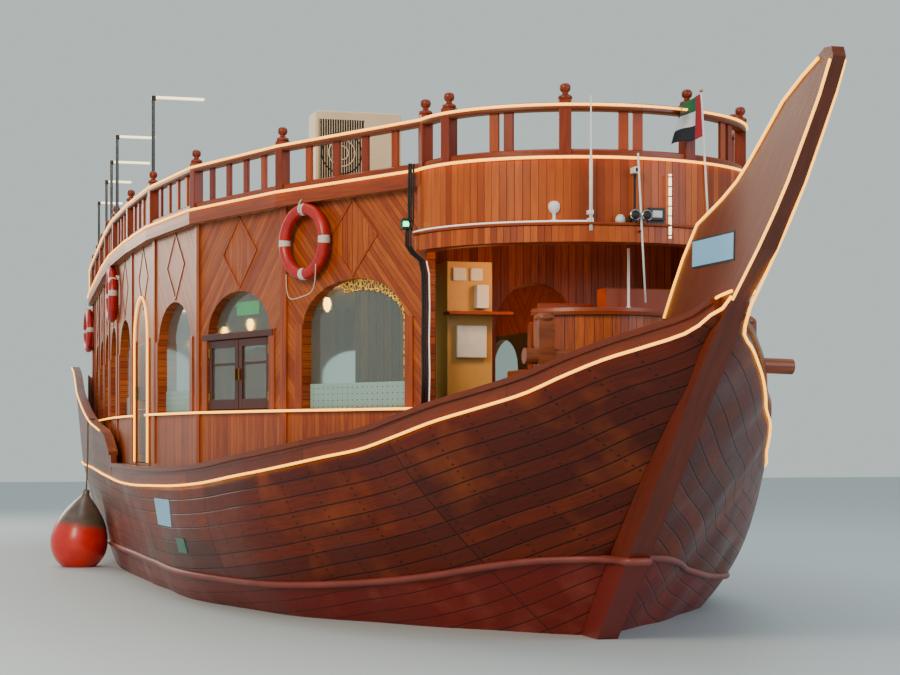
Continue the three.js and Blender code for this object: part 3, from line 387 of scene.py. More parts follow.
# The paint stops at the boot rail, whose height is a curve over the boat's length
BOOT_CURVE = (
    # share of the length from aft, height
    (0.0, 0.300), (0.29, 0.325), (0.53, 0.322), (0.67, 0.320), (0.74, 0.365), (0.787, 0.458), (0.834, 0.645),
    (0.865, 0.725), (0.90, 0.745), (1.0, 0.745),
)
rail_height = node("FloatCurve", 1.0, node("MapRange", x, -11.1, 10.0))
curve = rail_height.mapping.curves[0]
curve.points[0].location = BOOT_CURVE[0]
curve.points[1].location = BOOT_CURVE[-1]
for share, height in BOOT_CURVE[1:-1]:
    curve.points.new(share, height)
rail_height.mapping.update()
below = node("Math", z, rail_height, operation="LESS_THAN")
paint = node("Mix", worn, "#6e1c14", "#9a483a", data_type="RGBA")
paint_seamed = node("Mix", seam, paint, "#451009", data_type="RGBA")
relief = node("Math", seam, -1.0, 0.0, operation="MULTIPLY_ADD")
relief = node("Math", grain_value, 0.22, relief, operation="MULTIPLY_ADD")
feed(shader, Base_Color=node("Mix", below, planked, paint_seamed, data_type="RGBA"),
     Roughness=node("MapRange", blotch, 0.3, 0.75, 0.33, 0.56),
     Normal=node("Bump", Strength=0.55, Distance=0.012, Height=relief))
hull = face_out(put_mesh("hull_planking", *skin(rings), hull_wood, uvs=hull_uv))
put_on(hull, replaces="hull")


# Bulwark
# A rising strake stands on the sheer as a rail, capped with a broad worn timber. Aft of the side
# door it steps up and sweeps to two wings at the stern.
CAP_LINE = (
    # x, height of the bulwark's cap
    (-2.07, 1.490), (-1.00, 1.487), (0.00, 1.480), (1.00, 1.480), (2.00, 1.495), (3.00, 1.540),
    (4.00, 1.640), (4.50, 1.695), (5.00, 1.760), (5.50, 1.835), (6.00, 1.900), (6.50, 2.015),
    (7.00, 2.140), (7.50, 2.250), (8.00, 2.360), (8.40, 2.490), (8.80, 2.610), (9.10, 2.685),
    (9.50, 2.800), (9.75, 2.900),
)
WING_LINE = (
    # x, height of the cap where the quarter sweeps up to the stern
    (-11.10, 3.050), (-10.60, 2.950), (-10.00, 2.850), (-9.00, 2.680), (-8.00, 2.530), (-7.00, 2.390),
    (-6.00, 2.240), (-5.00, 2.110), (-4.10, 2.018), (-2.80, 1.908), (-2.44, 1.810), (-2.13, 1.640),
)
WING_END = -2.10
SIDES = (("stbd", -1), ("port", 1))
# Varnished teak in the light: redder than the planking, with a soft gloss and fine dark seams
bulwark_wood, node, shader = new_material("varnished_bulwark_teak", 0.38, coat=0.12, Specular_IOR_Level=0.35)
on = node("TexCoord").outputs
u, v, _ = node("SeparateXYZ", on["UV"]).outputs
shade, seam_distance = plank_colour(node, u, v, 0.125, 2.6)
grain_value = grain(node, on["UV"], 4.0, 60.0)
tone = node("Mix", shade, "#6d2508", "#a04612", data_type="RGBA")
grained = node("Mix", grain_value, "#3d1204", tone, data_type="RGBA")
seam = node("MapRange", seam_distance, 0.0, 0.006, 1.0, 0.0, interpolation_type="SMOOTHSTEP")
feed(shader, Base_Color=node("Mix", seam, grained, "#160401", data_type="RGBA"),
     Normal=node("Bump", Strength=0.35, Distance=0.006, Height=grain_value))


def flare_at(x, cap):
    """How far the bulwark has leaned outwards at the height of its cap."""
    return max(0, cap - lit_line(x) - 0.25) * 0.09


def bulwark_ring(x, cap, sign):
    half = sheer_half(x)
    inner = max(half - BULWARK_THICK * (1.0 if x < 6 else 1.2), 0.03)
    flare = flare_at(x, cap)
    under, outer, inside = cap - 0.05, half + flare + 0.03, inner + flare - 0.02
    points = [(half + 0.002, lit_line(x)), (half + flare + 0.002, under), (outer, under), (outer, cap),
              (inside, cap), (inside, under), (inner + flare, under), (inner, lit_line(x))]
    return [(x + stern_lean(x, z), sign * max(y, 0.012), z) for y, z in points]


def joined(shapes):
    """One list of vertices and one of faces from several shapes."""
    vertices, faces = [], []
    for part_vertices, part_faces in shapes:
        faces += [tuple(len(vertices) + i for i in face) for face in part_faces]
        vertices += list(part_vertices)
    return vertices, faces


for side_name, sign in SIDES:
    shapes, uvs = [], []
    for xs, table in ((spread(STERN, WING_END, 90), WING_LINE), (spread(WING_END, BOW, 160), CAP_LINE)):
        rings = [bulwark_ring(x, along(table, x), sign) for x in xs]
        shapes.append(skin(rings))
        for ring in rings:
            uvs += [(point[0], r) for point, r in zip(ring, run_along(ring))]
    strake = put_mesh(f"bulwark_strake_{side_name}", *joined(shapes), bulwark_wood, smooth=False, uvs=uvs)
    put_on(face_out(strake), replaces=f"bulwark_{side_name}")


# Boot rail
# A half-round rubbing timber nailed along the side just above the waterline, painted pink over the
# red bottom paint.
# Faded oil paint: dull, and paler wherever the quay has rubbed it
rail_paint, node, shader = new_material("faded_rail_paint", 0.5)
fade = node("TexNoise", node("TexCoord").outputs["Object"], 3.0, 7.0)
feed(shader, Base_Color=node("Mix", fade, "#5c160f", "#94453a", data_type="RGBA"))


def circle(count):
    return [2 * math.pi * k / count for k in range(count)]


def tube(name, points, radius, material, sides=8, closed=False):
    """A round bar that follows points, as one mesh."""
    path = [Vector(p) for p in points]
    rings = []
    normal = None
    for i, point in enumerate(path):
        before = path[i - 1] if i > 0 or closed else path[i]
        after = path[(i + 1) % len(path)] if i + 1 < len(path) or closed else path[i]
        tangent = (after - before).normalized()
        if normal is None:
            normal = tangent.orthogonal().normalized()
        normal = (normal - tangent * normal.dot(tangent)).normalized()
        across = tangent.cross(normal)
        size = radius[i] if isinstance(radius, (list, tuple)) else radius
        rings.append([point + (normal * math.cos(a) + across * math.sin(a)) * size for a in circle(sides)])
    if closed:
        rings.append(rings[0])
    return face_out(put_mesh(name, *skin(rings, close_ends=not closed), material))


rail_side = []
for x in spread(-10.55, 7.30, 146):
    z = along(STATIONS, x, 5)
    rail_side.append((x, side_half(x, z) + 0.004, z))
rail_side += [(x, y, 0.745) for x, y in ((7.55, 0.106), (7.77, 0.106), (7.805, 0.098), (7.82, 0.06))]
points = [(x, -y, z) for x, y, z in rail_side] + rail_side[::-1]
put_on(tube("boot_rail", points, 0.036, rail_paint, 10))


# Stem, keel and prow
# One great curved timber rises from the keel to a broad scroll at the bow. It is shaped by adze
# from solid teak, thicker at its forward face, and varnished.
def dress(cad_node, material):
    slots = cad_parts[cad_node].data.materials
    slots.clear()
    slots.append(material)


# Solid teak whose grain follows the rake of the stem. The prow is drier and yellower, the foot painted
stem_wood, node, shader = new_material("adzed_stem_teak", 0.38, coat=0.12, Specular_IOR_Level=0.35)
on = node("TexCoord").outputs
turned = node("Mapping", on["Object"], Rotation=(0, math.radians(44), 0))
grain_value = grain(node, turned, 2.2, 26.0, 7.0)
prow_tone = node("Mix", grain_value, "#3a0f04", "#7c340f", data_type="RGBA")
stem_tone = node("Mix", grain_value, "#3c0e02", "#7c2a0a", data_type="RGBA")
z = node("SeparateXYZ", on["Object"]).outputs[2]
tone = node("Mix", node("MapRange", z, 2.2, 2.9, 0.0, 1.0), stem_tone, prow_tone, data_type="RGBA")
painted = node("MapRange", z, 0.70, 0.74, 1.0, 0.0)
feed(shader, Base_Color=node("Mix", painted, tone, "#6e1c14", data_type="RGBA"),
     Normal=node("Bump", Strength=0.3, Distance=0.006, Height=grain_value))
dress("keel_stem_prow", stem_wood)


# Rope lights
# Flexible tubes of warm lamps are clipped along the sheer, the prow's edges, the wall sill, the
# side door's arch, the roof's edge and the handrail.
def lamp_material(name, base, light, strength, roughness=0.4):
    return new_material(name, roughness, Base_Color=base, Emission_Color=light, Emission_Strength=strength)[0]


# A milky tube whose lamps melt into one amber line
glow = lamp_material("warm_rope_light", "#ffc870", "#ffa820", 3.0)


def rope_light(name, points, radius=0.013):
    return put_on(tube(name, points, radius, glow, 6))


for side_name, sign in SIDES:
    points = [(x + stern_lean(x, lit_line(x)), sign * (sheer_half(x) + 0.016), lit_line(x))
              for x in spread(-11.0, 9.72, 150)]
    points += [(9.85, sign * 0.112, 2.80), (9.97, sign * 0.095, 2.88)]
    rope_light(f"rope_light_sheer_{side_name}", points)


# Deckhouse walls
# The saloon stands on the deck in flat panels of varnished teak boards, upright below the sill and
# slanting above it, with a diamond set over each window. Boards flank the windows and the corners.
HOUSE_CORNERS = (
    # x, half breadth of the wall's outer face, from forward to aft
    (6.38, 1.500), (4.42, 2.430), (2.63, 3.010), (0.78, 3.225), (-1.02, 3.260),
    (-2.82, 3.235), (-4.62, 3.140), (-6.42, 3.020), (-8.22, 2.900), (-10.00, 2.780),
)
PANELS = range(len(HOUSE_CORNERS) - 1)
SILL = 2.10
SALOON_FLOOR = 1.50
ROOF_UNDER = 4.10
ROOF_TOP = 4.26
HATCH_PANEL = 1
DOOR_PANEL = 3
OPENINGS = (
    # width, sill, spring, top, middle as a share of the panel, for each panel from forward
    (1.56, SILL, 2.90, 3.33, 0.50), (1.35, SILL, 2.88, 3.33, 0.52), (1.38, SILL, 2.88, 3.33, 0.54),
    (0.98, 1.51, 2.96, 3.47, 0.54), *[(1.26, SILL, 2.88, 3.33, 0.50)] * 5,
)


def panel_frame(i, sign):
    """A wall panel's forward end, its way aft, its way outwards, and its length."""
    (ax, ah), (bx, bh) = HOUSE_CORNERS[i], HOUSE_CORNERS[i + 1]
    start = Vector((ax, sign * ah, 0))
    way = Vector((bx, sign * bh, 0)) - start
    length = way.length
    way.normalize()
    out = Vector((way.y, -way.x, 0))
    if out.y * sign < 0:
        out.negate()
    return start, way, out, length


def opening(i, sign):
    """Where an opening's middle is along its panel, its half width, sill, spring and top."""
    width, sill, spring, top, share = OPENINGS[i]
    return panel_frame(i, sign)[3] * share, width / 2, sill, spring, top


def on_wall(i, sign, along_wall, z, off=0.0):
    start, way, out, length = panel_frame(i, sign)
    return start + way * along_wall + out * off + Vector((0, 0, z))


def recut(cad_node, name, body, material, uv_of=None):
    """A piece with a CAD node's shape in its place, and a place on the pattern for each corner."""
    work = bmesh.new()
    work.from_mesh(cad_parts[cad_node].data)
    bmesh.ops.remove_doubles(work, verts=work.verts, dist=1e-5)
    bmesh.ops.recalc_face_normals(work, faces=work.faces)
    if uv_of:
        layer = work.loops.layers.uv.new("UVMap")
        for face in work.faces:
            for loop in face.loops:
                loop[layer].uv = uv_of(loop.vert.co, face)
    piece = put_mesh(name, [], [], material)
    work.to_mesh(piece.data)
    work.free()
    piece.data.polygons.foreach_set("use_smooth", [False] * len(piece.data.polygons))
    return put_on(piece, body, cad_node)


# Varnished teak boards 78 mm wide. Clear varnish gives a soft gloss, and each board keeps its own
# shade between orange and red brown.
BOARD_STEP = 0.078
DIAMOND = {"z": 3.72, "reach": 0.36}


def teak_boards(name, dark, light, seam_dark, pattern, roughness=0.4, plank_long=1.9):
    """Teak boards whose seams follow the coordinates that pattern() gives: across, and along."""
    material, node, shader = new_material(name, roughness, coat=0.06, Specular_IOR_Level=0.32)
    across, long_way = pattern(node, node("TexCoord").outputs)
    shade, seam_distance = plank_colour(node, long_way, across, BOARD_STEP, plank_long)
    grain_value = grain(node, node("CombineXYZ", long_way, across), 3.0, 60.0)
    tone = node("Mix", shade, dark, light, data_type="RGBA")
    streak = node("MapRange", grain_value, 0.3, 0.62, 0.6, 0.0)
    grained = node("Mix", streak, tone, seam_dark, data_type="RGBA")
    seam = node("MapRange", seam_distance, 0.0, 0.006, 1.0, 0.0, interpolation_type="SMOOTHSTEP")
    height = node("Math", seam, -1.0, grain_value, operation="MULTIPLY_ADD")
    feed(shader, Base_Color=node("Mix", seam, grained, seam_dark, data_type="RGBA"),
         Normal=node("Bump", Strength=0.3, Distance=0.004, Height=height))
    return material


def wall_pattern(node, on):
    u, z, _ = node("SeparateXYZ", on["UV"]).outputs
    slanting = node("Math", u, z, operation="ADD")
    falling = node("Math", z, u, operation="SUBTRACT")
    side = node("Math", u, operation="ABSOLUTE")
    rise = node("Math", node("Math", z, DIAMOND["z"], operation="SUBTRACT"), operation="ABSOLUTE")
    ring = node("Math", side, rise, operation="ADD")
    in_diamond = node("Math", ring, DIAMOND["reach"], operation="LESS_THAN")
    below = node("Math", z, SILL - 0.04, operation="LESS_THAN")
    upright = node("Math", u, 1.2, operation="MULTIPLY")
    across = node("Mix", below, node("Mix", in_diamond, slanting, u), upright)
    return across, node("Mix", below, node("Mix", in_diamond, falling, z), z)


def panel_uv(sign):
    def place(point, face):
        x = face.calc_center_median().x
        i = max(k for k in PANELS if HOUSE_CORNERS[k][0] + 0.001 >= min(x, 6.38))
        start, way, out, length = panel_frame(i, sign)
        flat = (Vector((point.x, point.y, 0)) - start).dot(way)
        return ((-1 if i % 2 else 1) * (length / 2 - flat), point.z)
    return place


wall_teak = teak_boards("varnished_teak_wall_boards", "#963a08", "#bd5c12", "#2e0d02", wall_pattern, 0.4, 6.0)
for side_name, sign in SIDES:
    for part in ("fore", "mid", "aft"):
        cad_node = f"wall_{part}_{side_name}"
        recut(cad_node, f"board_{cad_node}", "boat", wall_teak, panel_uv(sign))


# Long clear-grained teak for the framing: boards that flank windows and corners, rails and sills
def straight_teak(name, scale, dark, light, roughness=0.38, source="Object"):
    material, node, shader = new_material(name, roughness, coat=0.08, Specular_IOR_Level=0.35)
    on = node("TexCoord").outputs
    streaks = node("TexNoise", node("Mapping", on[source], Scale=scale), 1.0, 5.0)
    tone = node("Mix", node("TexNoise", on["Object"], 1.4), dark, light, data_type="RGBA")
    dark_grain = node("MapRange", streaks, 0.35, 0.7, 0.45, 0.0)
    feed(shader, Base_Color=node("Mix", dark_grain, tone, "#38100a", data_type="RGBA"),
         Normal=node("Bump", Strength=0.2, Distance=0.003, Height=streaks))
    return material


upright_teak = straight_teak("upright_varnished_teak", (34.0, 34.0, 2.2), "#8c3205", "#bd560e")
long_teak = straight_teak("lengthwise_varnished_teak", (2.2, 34.0, 34.0), "#883205", "#b04c0c")
BOX_FACES = ((0, 1, 3, 2), (4, 6, 7, 5), (0, 4, 5, 1), (2, 3, 7, 6), (0, 2, 6, 4), (1, 5, 7, 3))


def block(x, y, z):
    """Corners and faces of a squared timber over ranges of X, Y and Z."""
    return [(x[a], y[b], z[c]) for a in (0, 1) for b in (0, 1) for c in (0, 1)], BOX_FACES


def box_on_wall(i, sign, u, z, n):
    """Corners and faces of a board on a wall panel, over ranges along it, up it and out of it."""
    return [on_wall(i, sign, u[a], z[b], n[c]) for a in (0, 1) for b in (0, 1) for c in (0, 1)], BOX_FACES


def ease(piece, width):
    eased = piece.modifiers.new("eased", "BEVEL")
    eased.width = width
    eased.segments = 2
    eased.limit_method = "ANGLE"


def build(name, shapes, material, eased=0.0, body="boat", replaces=None, smooth=False):
    """One piece from several shapes, with its faces outwards and its edges eased."""
    piece = face_out(put_mesh(name, *joined(shapes), material, smooth), weld=False)
    if eased:
        ease(piece, eased)
    return put_on(piece, body, replaces)


for side_name, sign in SIDES:
    boards, sills = [], []
    for i in PANELS:
        middle, half, sill, spring, top = opening(i, sign)
        length = panel_frame(i, sign)[3]
        for edge, room in ((-1, middle), (1, length - middle)):
            span = sorted((middle + edge * (half + 0.002), middle + edge * min(half + 0.115, room - 0.06)))
            boards.append(box_on_wall(i, sign, span, (sill - 0.02, spring + 0.03), (-0.012, 0.014)))
        for span in ((0.0, 0.055), (length - 0.055, length)):
            boards.append(box_on_wall(i, sign, span, (SALOON_FLOOR + 0.02, ROOF_UNDER), (-0.010, 0.020)))
        spans = [(0.0, length)]
        if i == DOOR_PANEL:
            spans = [(0.0, middle - half - 0.03), (middle + half + 0.03, length)]
        sills += [box_on_wall(i, sign, span, (SILL - 0.035, SILL - 0.005), (-0.01, 0.035)) for span in spans]
    build(f"window_and_corner_boards_{side_name}", boards, upright_teak, 0.003)
    build(f"window_sill_{side_name}", sills, long_teak, 0.005)


# Bulkheads and saloon
# Cross walls of the same boards close the saloon fore and aft. Its floor is laid boards, its
# ceiling is a pale panel, and brass globe lamps hang from it.
def square_pattern(across, long_way):
    """Boards laid square to the boat: the axis across them and the axis along them."""
    def place(node, on):
        axes = node("SeparateXYZ", on["Object"]).outputs
        return axes[across], axes[long_way]
    return place


# The bulkheads share the walls' varnish. Feet and sun have scrubbed the deck to a pale straw, and the
# saloon's boards keep a low polish.
CROSS_WALL = square_pattern(1, 2)
DECK = square_pattern(1, 0)
cross_teak = teak_boards("bulkhead_teak_boards", "#7a2f0b", "#ad5216", "#2c0b03", CROSS_WALL)
deck_teak = teak_boards("scrubbed_deck_teak", "#a5754a", "#c89a6a", "#3a2616", DECK, 0.6, 3.0)
saloon_boards = teak_boards("saloon_floor_boards", "#7c4420", "#a3663a", "#2a1208", DECK, 0.35, 2.0)
dress("bulkhead_fore", cross_teak)
dress("bulkhead_aft", cross_teak)
dress("saloon_floor", saloon_boards)
dress("aft_door", upright_teak)


def flat_colour(name, dark, light, roughness=0.5, metallic=0.0, coat=0.0, scale=8.0, bump_size=0.001):
    """A painted or moulded finish: one colour that drifts a little, with fine unevenness."""
    material, node, shader = new_material(name, roughness, metallic, coat=coat)
    drift = node("TexNoise", node("TexCoord").outputs["Object"], scale, 6.0)
    feed(shader, Base_Color=node("Mix", drift, dark, light, data_type="RGBA"),
         Roughness=node("MapRange", drift, 0.3, 0.7, roughness * 0.85, roughness * 1.15),
         Normal=node("Bump", Strength=0.15, Distance=bump_size, Height=drift))
    return material


CEILING = (4.06, 4.085)
# Matt cream paint takes up the warm lamps and throws them down
ceiling_paint = flat_colour("cream_ceiling_paint", "#d8c7a4", "#efe2c4", 0.6)
stbd_edge = [(x, 0.16 - half) for x, half in HOUSE_CORNERS]
ceiling_edge = stbd_edge + [(x, -y) for x, y in stbd_edge[::-1]]
rings = [[(x, y, z) for x, y in ceiling_edge] for z in CEILING]
ceiling = face_out(put_mesh("saloon_ceiling", *skin(rings), ceiling_paint, smooth=False))
put_on(ceiling)

# Lit glass globes are almost white, and the brass that holds them has browned
lamp_glow = lamp_material("warm_globe_lamp", "#fff0d0", "#ffb347", 14.0)
aged_brass = flat_colour("aged_brass", "#8a6526", "#c0934a", 0.3, 1.0, scale=20.0)
LAMPS = (
    # x, y, height of the globe's middle
    (4.9, -1.1, 3.35), (4.3, -1.4, 3.20), (3.6, -0.9, 3.40), (2.2, -1.5, 3.30), (0.8, -1.6, 3.30),
    (-2.0, -1.6, 3.30), (-4.0, -1.6, 3.30), (-6.0, -1.5, 3.30), (-8.0, -1.4, 3.30),
    (4.3, 1.3, 3.25), (2.2, 1.5, 3.30), (-2.0, 1.6, 3.30), (-6.0, 1.5, 3.30),
)


def lathe(profile, centre, sides=20):
    """A turned shape: rings of a profile of radius and height about an upright axis."""
    x, y, z = centre
    return skin([[(x + r * math.cos(a), y + r * math.sin(a), z + h) for a in circle(sides)]
                 for r, h in profile])


globes, stems = [], []
for x, y, z in LAMPS:
    globe = [(0.012, -0.085), (0.034, -0.05), (0.045, 0.0), (0.034, 0.05), (0.012, 0.085)]
    globes.append(lathe(globe, (x, y, z), 12))
    stems.append(lathe([(0.006, 0.085), (0.006, CEILING[0] - z)], (x, y, z), 6))
    stems.append(lathe([(0.03, 0.07), (0.03, 0.11), (0.012, 0.13)], (x, y, z), 10))
build("saloon_globe_lamps", globes, lamp_glow, smooth=True)
build("saloon_lamp_stems", stems, aged_brass, smooth=True)


# Window glass
# One clear sheet stands against the inner face of each run of walls. Its lowest band is frosted
# with a running ornament, and the big forward window has a gilt lattice round its edge.
# Clear glass with a green cast: the warm saloon shows through it, and the sky lies on it
clear_glass = new_material("clear_window_glass", 0.03, ior=1.45, Base_Color="#cfe6df",
                           Transmission_Weight=0.92)[0]
for side_name, sign in SIDES:
    for part in ("fore", "mid", "aft"):
        dress(f"glazing_{part}_{side_name}", clear_glass)

# Etched glass: pale, and dull where the ornament crosses it
frosted, node, shader = new_material("frosted_glass_band", 0.55, ior=1.45, Transmission_Weight=0.25)
x, _, z = node("SeparateXYZ", node("TexCoord").outputs["Object"]).outputs
waves = []
for socket, turns in ((x, 46.0), (z, 52.0)):
    waves.append(node("Math", node("Math", socket, turns, operation="MULTIPLY"), operation="SINE"))
curl = node("Math", node("Math", *waves, operation="MULTIPLY"), 0.34, operation="PINGPONG")
line = node("MapRange", curl, 0.0, 0.09, 1.0, 0.0, interpolation_type="SMOOTHSTEP")
feed(shader, Base_Color=node("Mix", line, "#a9ccc4", "#456a62", data_type="RGBA"))

# Gilt strips with dark gaps. The strips glow by themselves: a painted glow that stands in for the saloon's
# light behind them
gilt, node, shader = new_material("gilt_lattice", 0.35, Emission_Strength=0.7)
cells = node("TexVoronoi", node("TexCoord").outputs["Object"], 26.0, feature="DISTANCE_TO_EDGE")
line = node("MapRange", cells, 0.0, 0.10, 1.0, 0.0, interpolation_type="SMOOTHSTEP")
tone = node("Mix", line, "#4b3212", "#ffbf3d", data_type="RGBA")
feed(shader, Base_Color=tone, Emission_Color=tone)

LATTICE_TURNS = [math.pi * 0.62 * k / 24 for k in range(25)]
GLASS_FACE = -0.088
for side_name, sign in SIDES:
    bands = []
    for i in PANELS:
        if i in (HATCH_PANEL, DOOR_PANEL):
            continue
        middle, half, sill, spring, top = opening(i, sign)
        u = (middle - half + 0.004, middle + half - 0.004)
        bands.append(box_on_wall(i, sign, u, (sill + 0.004, sill + 0.24), (-0.096, GLASS_FACE)))
    build(f"frosted_bands_{side_name}", bands, frosted)
    middle, half, sill, spring, top = opening(0, sign)
    edges = []
    for side_gap, top_gap in ((0.13, 0.11), (0.004, 0.004)):
        w, h = half - side_gap, top - spring - top_gap
        line = [(middle - w * math.cos(turn), spring + h * math.sin(turn)) for turn in LATTICE_TURNS]
        edges.append([(line[0][0], sill + 0.25)] + line)
    rings = []
    for a, b in zip(*edges):
        ring = ((a, -0.095), (b, -0.095), (b, GLASS_FACE), (a, GLASS_FACE))
        rings.append([on_wall(0, sign, *place, n) for place, n in ring])
    put_on(face_out(put_mesh(f"gilt_lattice_{side_name}", *skin(rings), gilt, smooth=False)))


# Battens frame the diamond of upright boards above each window
battens = []
for side_name, sign in SIDES:
    for i in PANELS:
        middle = panel_frame(i, sign)[3] / 2
        ends = []
        for reach in (DIAMOND["reach"] - 0.014, DIAMOND["reach"] + 0.022):
            ends.append([(middle + s * reach, DIAMOND["z"] + h * reach)
                         for s, h in ((1, 0), (0, 1), (-1, 0), (0, -1))])
        for k in range(4):
            corner = [on_wall(i, sign, *ends[ring][(k + step) % 4], n)
                      for step in (0, 1) for ring in (0, 1) for n in (-0.002, 0.009)]
            battens.append((corner, BOX_FACES))
build("diamond_battens", battens, upright_teak, 0.003)


# Upper deck
# The saloon's roof is a laid teak deck with a varnished beam round its edge. Aft it stands on two
# posts, which are cased in varnished boards.
ROOF_OVERHANG = 0.09
ROOF_AFT = (-11.10, 2.78)
ROOF_ARC = {"x": 6.30, "long": 1.39, "half": 1.59, "from": 6.47}


def plan_offset(path, by):
    """A plan path moved sideways, to the left of its way."""
    moved = []
    for i, point in enumerate(path):
        after = (path[i + 1] - point).normalized() if i + 1 < len(path) else None
        before = (point - path[i - 1]).normalized() if i else after
        after = after or before
        normal = Vector((-before.y - after.y, before.x + after.x)).normalized()
        share = normal.dot(Vector((-after.y, after.x)))
        moved.append(point + normal * (by / share))
    return moved


def bow_arc(long, half, start=6.385, count=24):
    """Plan points of an ellipse round the bow, from the port side to the middle."""
    turns = spread(math.asin((start - ROOF_ARC["x"]) / long), math.pi / 2, count)
    return [Vector((ROOF_ARC["x"] + long * math.sin(turn), half * math.cos(turn))) for turn in turns]


def moulding(name, path, profile, material, signs=(-1, 1), replaces=None):
    """A length of moulding along a plan path: the profile gives how far out and how high."""
    columns = [(plan_offset(path, out), height) for out, height in profile]
    shapes, uvs = [], []
    for sign in signs:
        shapes.append(skin([[(line[i].x, sign * line[i].y, z) for line, z in columns]
                            for i in range(len(path))]))
        uvs += [(run, girth) for run in run_along(path) for girth in spread(0, 0.3, len(profile))]
    piece = face_out(put_mesh(name, *joined(shapes), material, smooth=False, uvs=uvs))
    return put_on(piece, replaces=replaces)


roof_edge = [Vector((ROOF_AFT[0], 0)), Vector(ROOF_AFT)]
roof_edge += plan_offset([Vector(corner) for corner in reversed(HOUSE_CORNERS)], ROOF_OVERHANG)
roof_edge += bow_arc(ROOF_ARC["long"], ROOF_ARC["half"], ROOF_ARC["from"])
EDGE_TOP = ROOF_TOP + 0.004
EDGE_LOW = ROOF_UNDER - 0.004
dress("upper_deck", deck_teak)
# Moulded timber whose grain follows its length
run_teak = straight_teak("moulded_varnished_teak", (2.2, 40.0, 40.0), "#822c04", "#b04c0e", source="UV")
# The edge board runs along the sides and aft. Round the bow only a thin lip caps the fascia's boards
moulding("roof_edge_board", roof_edge[:13], [
    (-0.02, EDGE_LOW), (0.012, EDGE_LOW), (0.016, ROOF_UNDER + 0.05), (0.012, EDGE_TOP), (-0.03, EDGE_TOP),
], run_teak)
moulding("roof_edge_lip", roof_edge[12:], [
    (-0.02, 4.236), (0.014, 4.236), (0.018, 4.248), (0.012, EDGE_TOP), (-0.03, EDGE_TOP),
], run_teak)

AFT_POST = {"x": -10.86, "y": 2.66, "half": 0.075}
casings = []
for side_name, sign in SIDES:
    for ax, ay in ((1, 0), (-1, 0), (0, 1), (0, -1)):
        x = AFT_POST["x"] + ax * (AFT_POST["half"] + 0.005)
        y = sign * AFT_POST["y"] + ay * (AFT_POST["half"] + 0.005)
        wx, wy = (0.006 + abs(turned_away) * 0.074 for turned_away in (ay, ax))
        casings.append(block((x - wx, x + wx), (y - wy, y + wy), (SALOON_DECK + 0.02, ROOF_UNDER)))
build("aft_post_casing", casings, upright_teak, 0.003)


# Upright boards that each keep their own shade, from an attribute that every board carries
def own_shade_teak(name, dark, light):
    material, node, shader = new_material(name, 0.42, coat=0.06, Specular_IOR_Level=0.32)
    streaks = grain(node, node("TexCoord").outputs["Object"], 34.0, 2.0)
    tone = node("Attribute", attribute_name="tone").outputs["Fac"]
    wood = node("Mix", tone, dark, light, data_type="RGBA")
    dark_grain = node("MapRange", streaks, 0.3, 0.62, 0.4, 0.0)
    feed(shader, Base_Color=node("Mix", dark_grain, wood, "#4a1a06", data_type="RGBA"),
         Normal=node("Bump", Strength=0.2, Distance=0.003, Height=streaks))
    return material


# Geometry Nodes that stand one eased block on each point of a mesh, turned by its "turn" value.
# Every block gets its own "tone" from a fixed seed.
def board_tree():
    tree = bpy.data.node_groups.new("stand_boards", "GeometryNodeTree")
    for name, kind in (("Geometry", "Geometry"), ("Size", "Vector"), ("Seed", "Int"), ("Wood", "Material")):
        tree.interface.new_socket(name, in_out="INPUT", socket_type="NodeSocket" + kind)
    tree.interface.new_socket("Geometry", in_out="OUTPUT", socket_type="NodeSocketGeometry")
    new = tree.nodes.new
    given = new("NodeGroupInput").outputs
    cube = feed(new("GeometryNodeMeshCube"), Size=given["Size"])
    turn = feed(new("GeometryNodeInputNamedAttribute"), Name="turn", data_type="FLOAT")
    way = feed(new("ShaderNodeCombineXYZ"), Z=turn)
    stand = feed(new("GeometryNodeInstanceOnPoints"), Points=given["Geometry"], Instance=cube, Rotation=way)
    shade = feed(new("FunctionNodeRandomValue"), Seed=given["Seed"])
    keep = feed(new("GeometryNodeStoreNamedAttribute"), Geometry=stand, Name="tone", Value=shade,
                domain="INSTANCE")
    real = feed(new("GeometryNodeRealizeInstances"), Geometry=keep)
    finish = feed(new("GeometryNodeSetMaterial"), Geometry=real, Material=given["Wood"])
    feed(new("NodeGroupOutput"), Geometry=finish)
    return tree


BOARD_TREE = board_tree()


def stand_boards(name, places, size, seed, material, eased=0.003):
    """Boards of one size, each at a place with its turn about the upright."""
    points = put_mesh(name + "_places", [place[:3] for place in places], [])
    turns = points.data.attributes.new("turn", "FLOAT", "POINT")
    turns.data.foreach_set("value", [place[3] for place in places])
    maker = points.modifiers.new("boards", "NODES")
    maker.node_group = BOARD_TREE
    given = {"Size": size, "Seed": seed, "Wood": material}
    for item in BOARD_TREE.interface.items_tree:
        if item.in_out == "INPUT" and item.name in given:
            maker[item.identifier] = given[item.name]
    made = bpy.data.meshes.new_from_object(points.evaluated_get(bpy.context.evaluated_depsgraph_get()))
    bpy.data.objects.remove(points)
    made.name = name
    piece = bpy.data.objects.new(name, made)
    scene.collection.objects.link(piece)
    ease(piece, eased)
    return put_on(piece)


# Fascia over the helm
# Narrow upright boards bend round the bow under the upper deck, and a ledge of shorter boards stands
# out below them to carry the lamps and horns.
FASCIA_LOW = 3.50
LEDGE = 3.65
FASCIA_TOP = 4.235
# The sunniest boards of the boat: orange teak, each one a little different
fascia_wood = own_shade_teak("fascia_teak_boards", "#8c3406", "#c65e10")


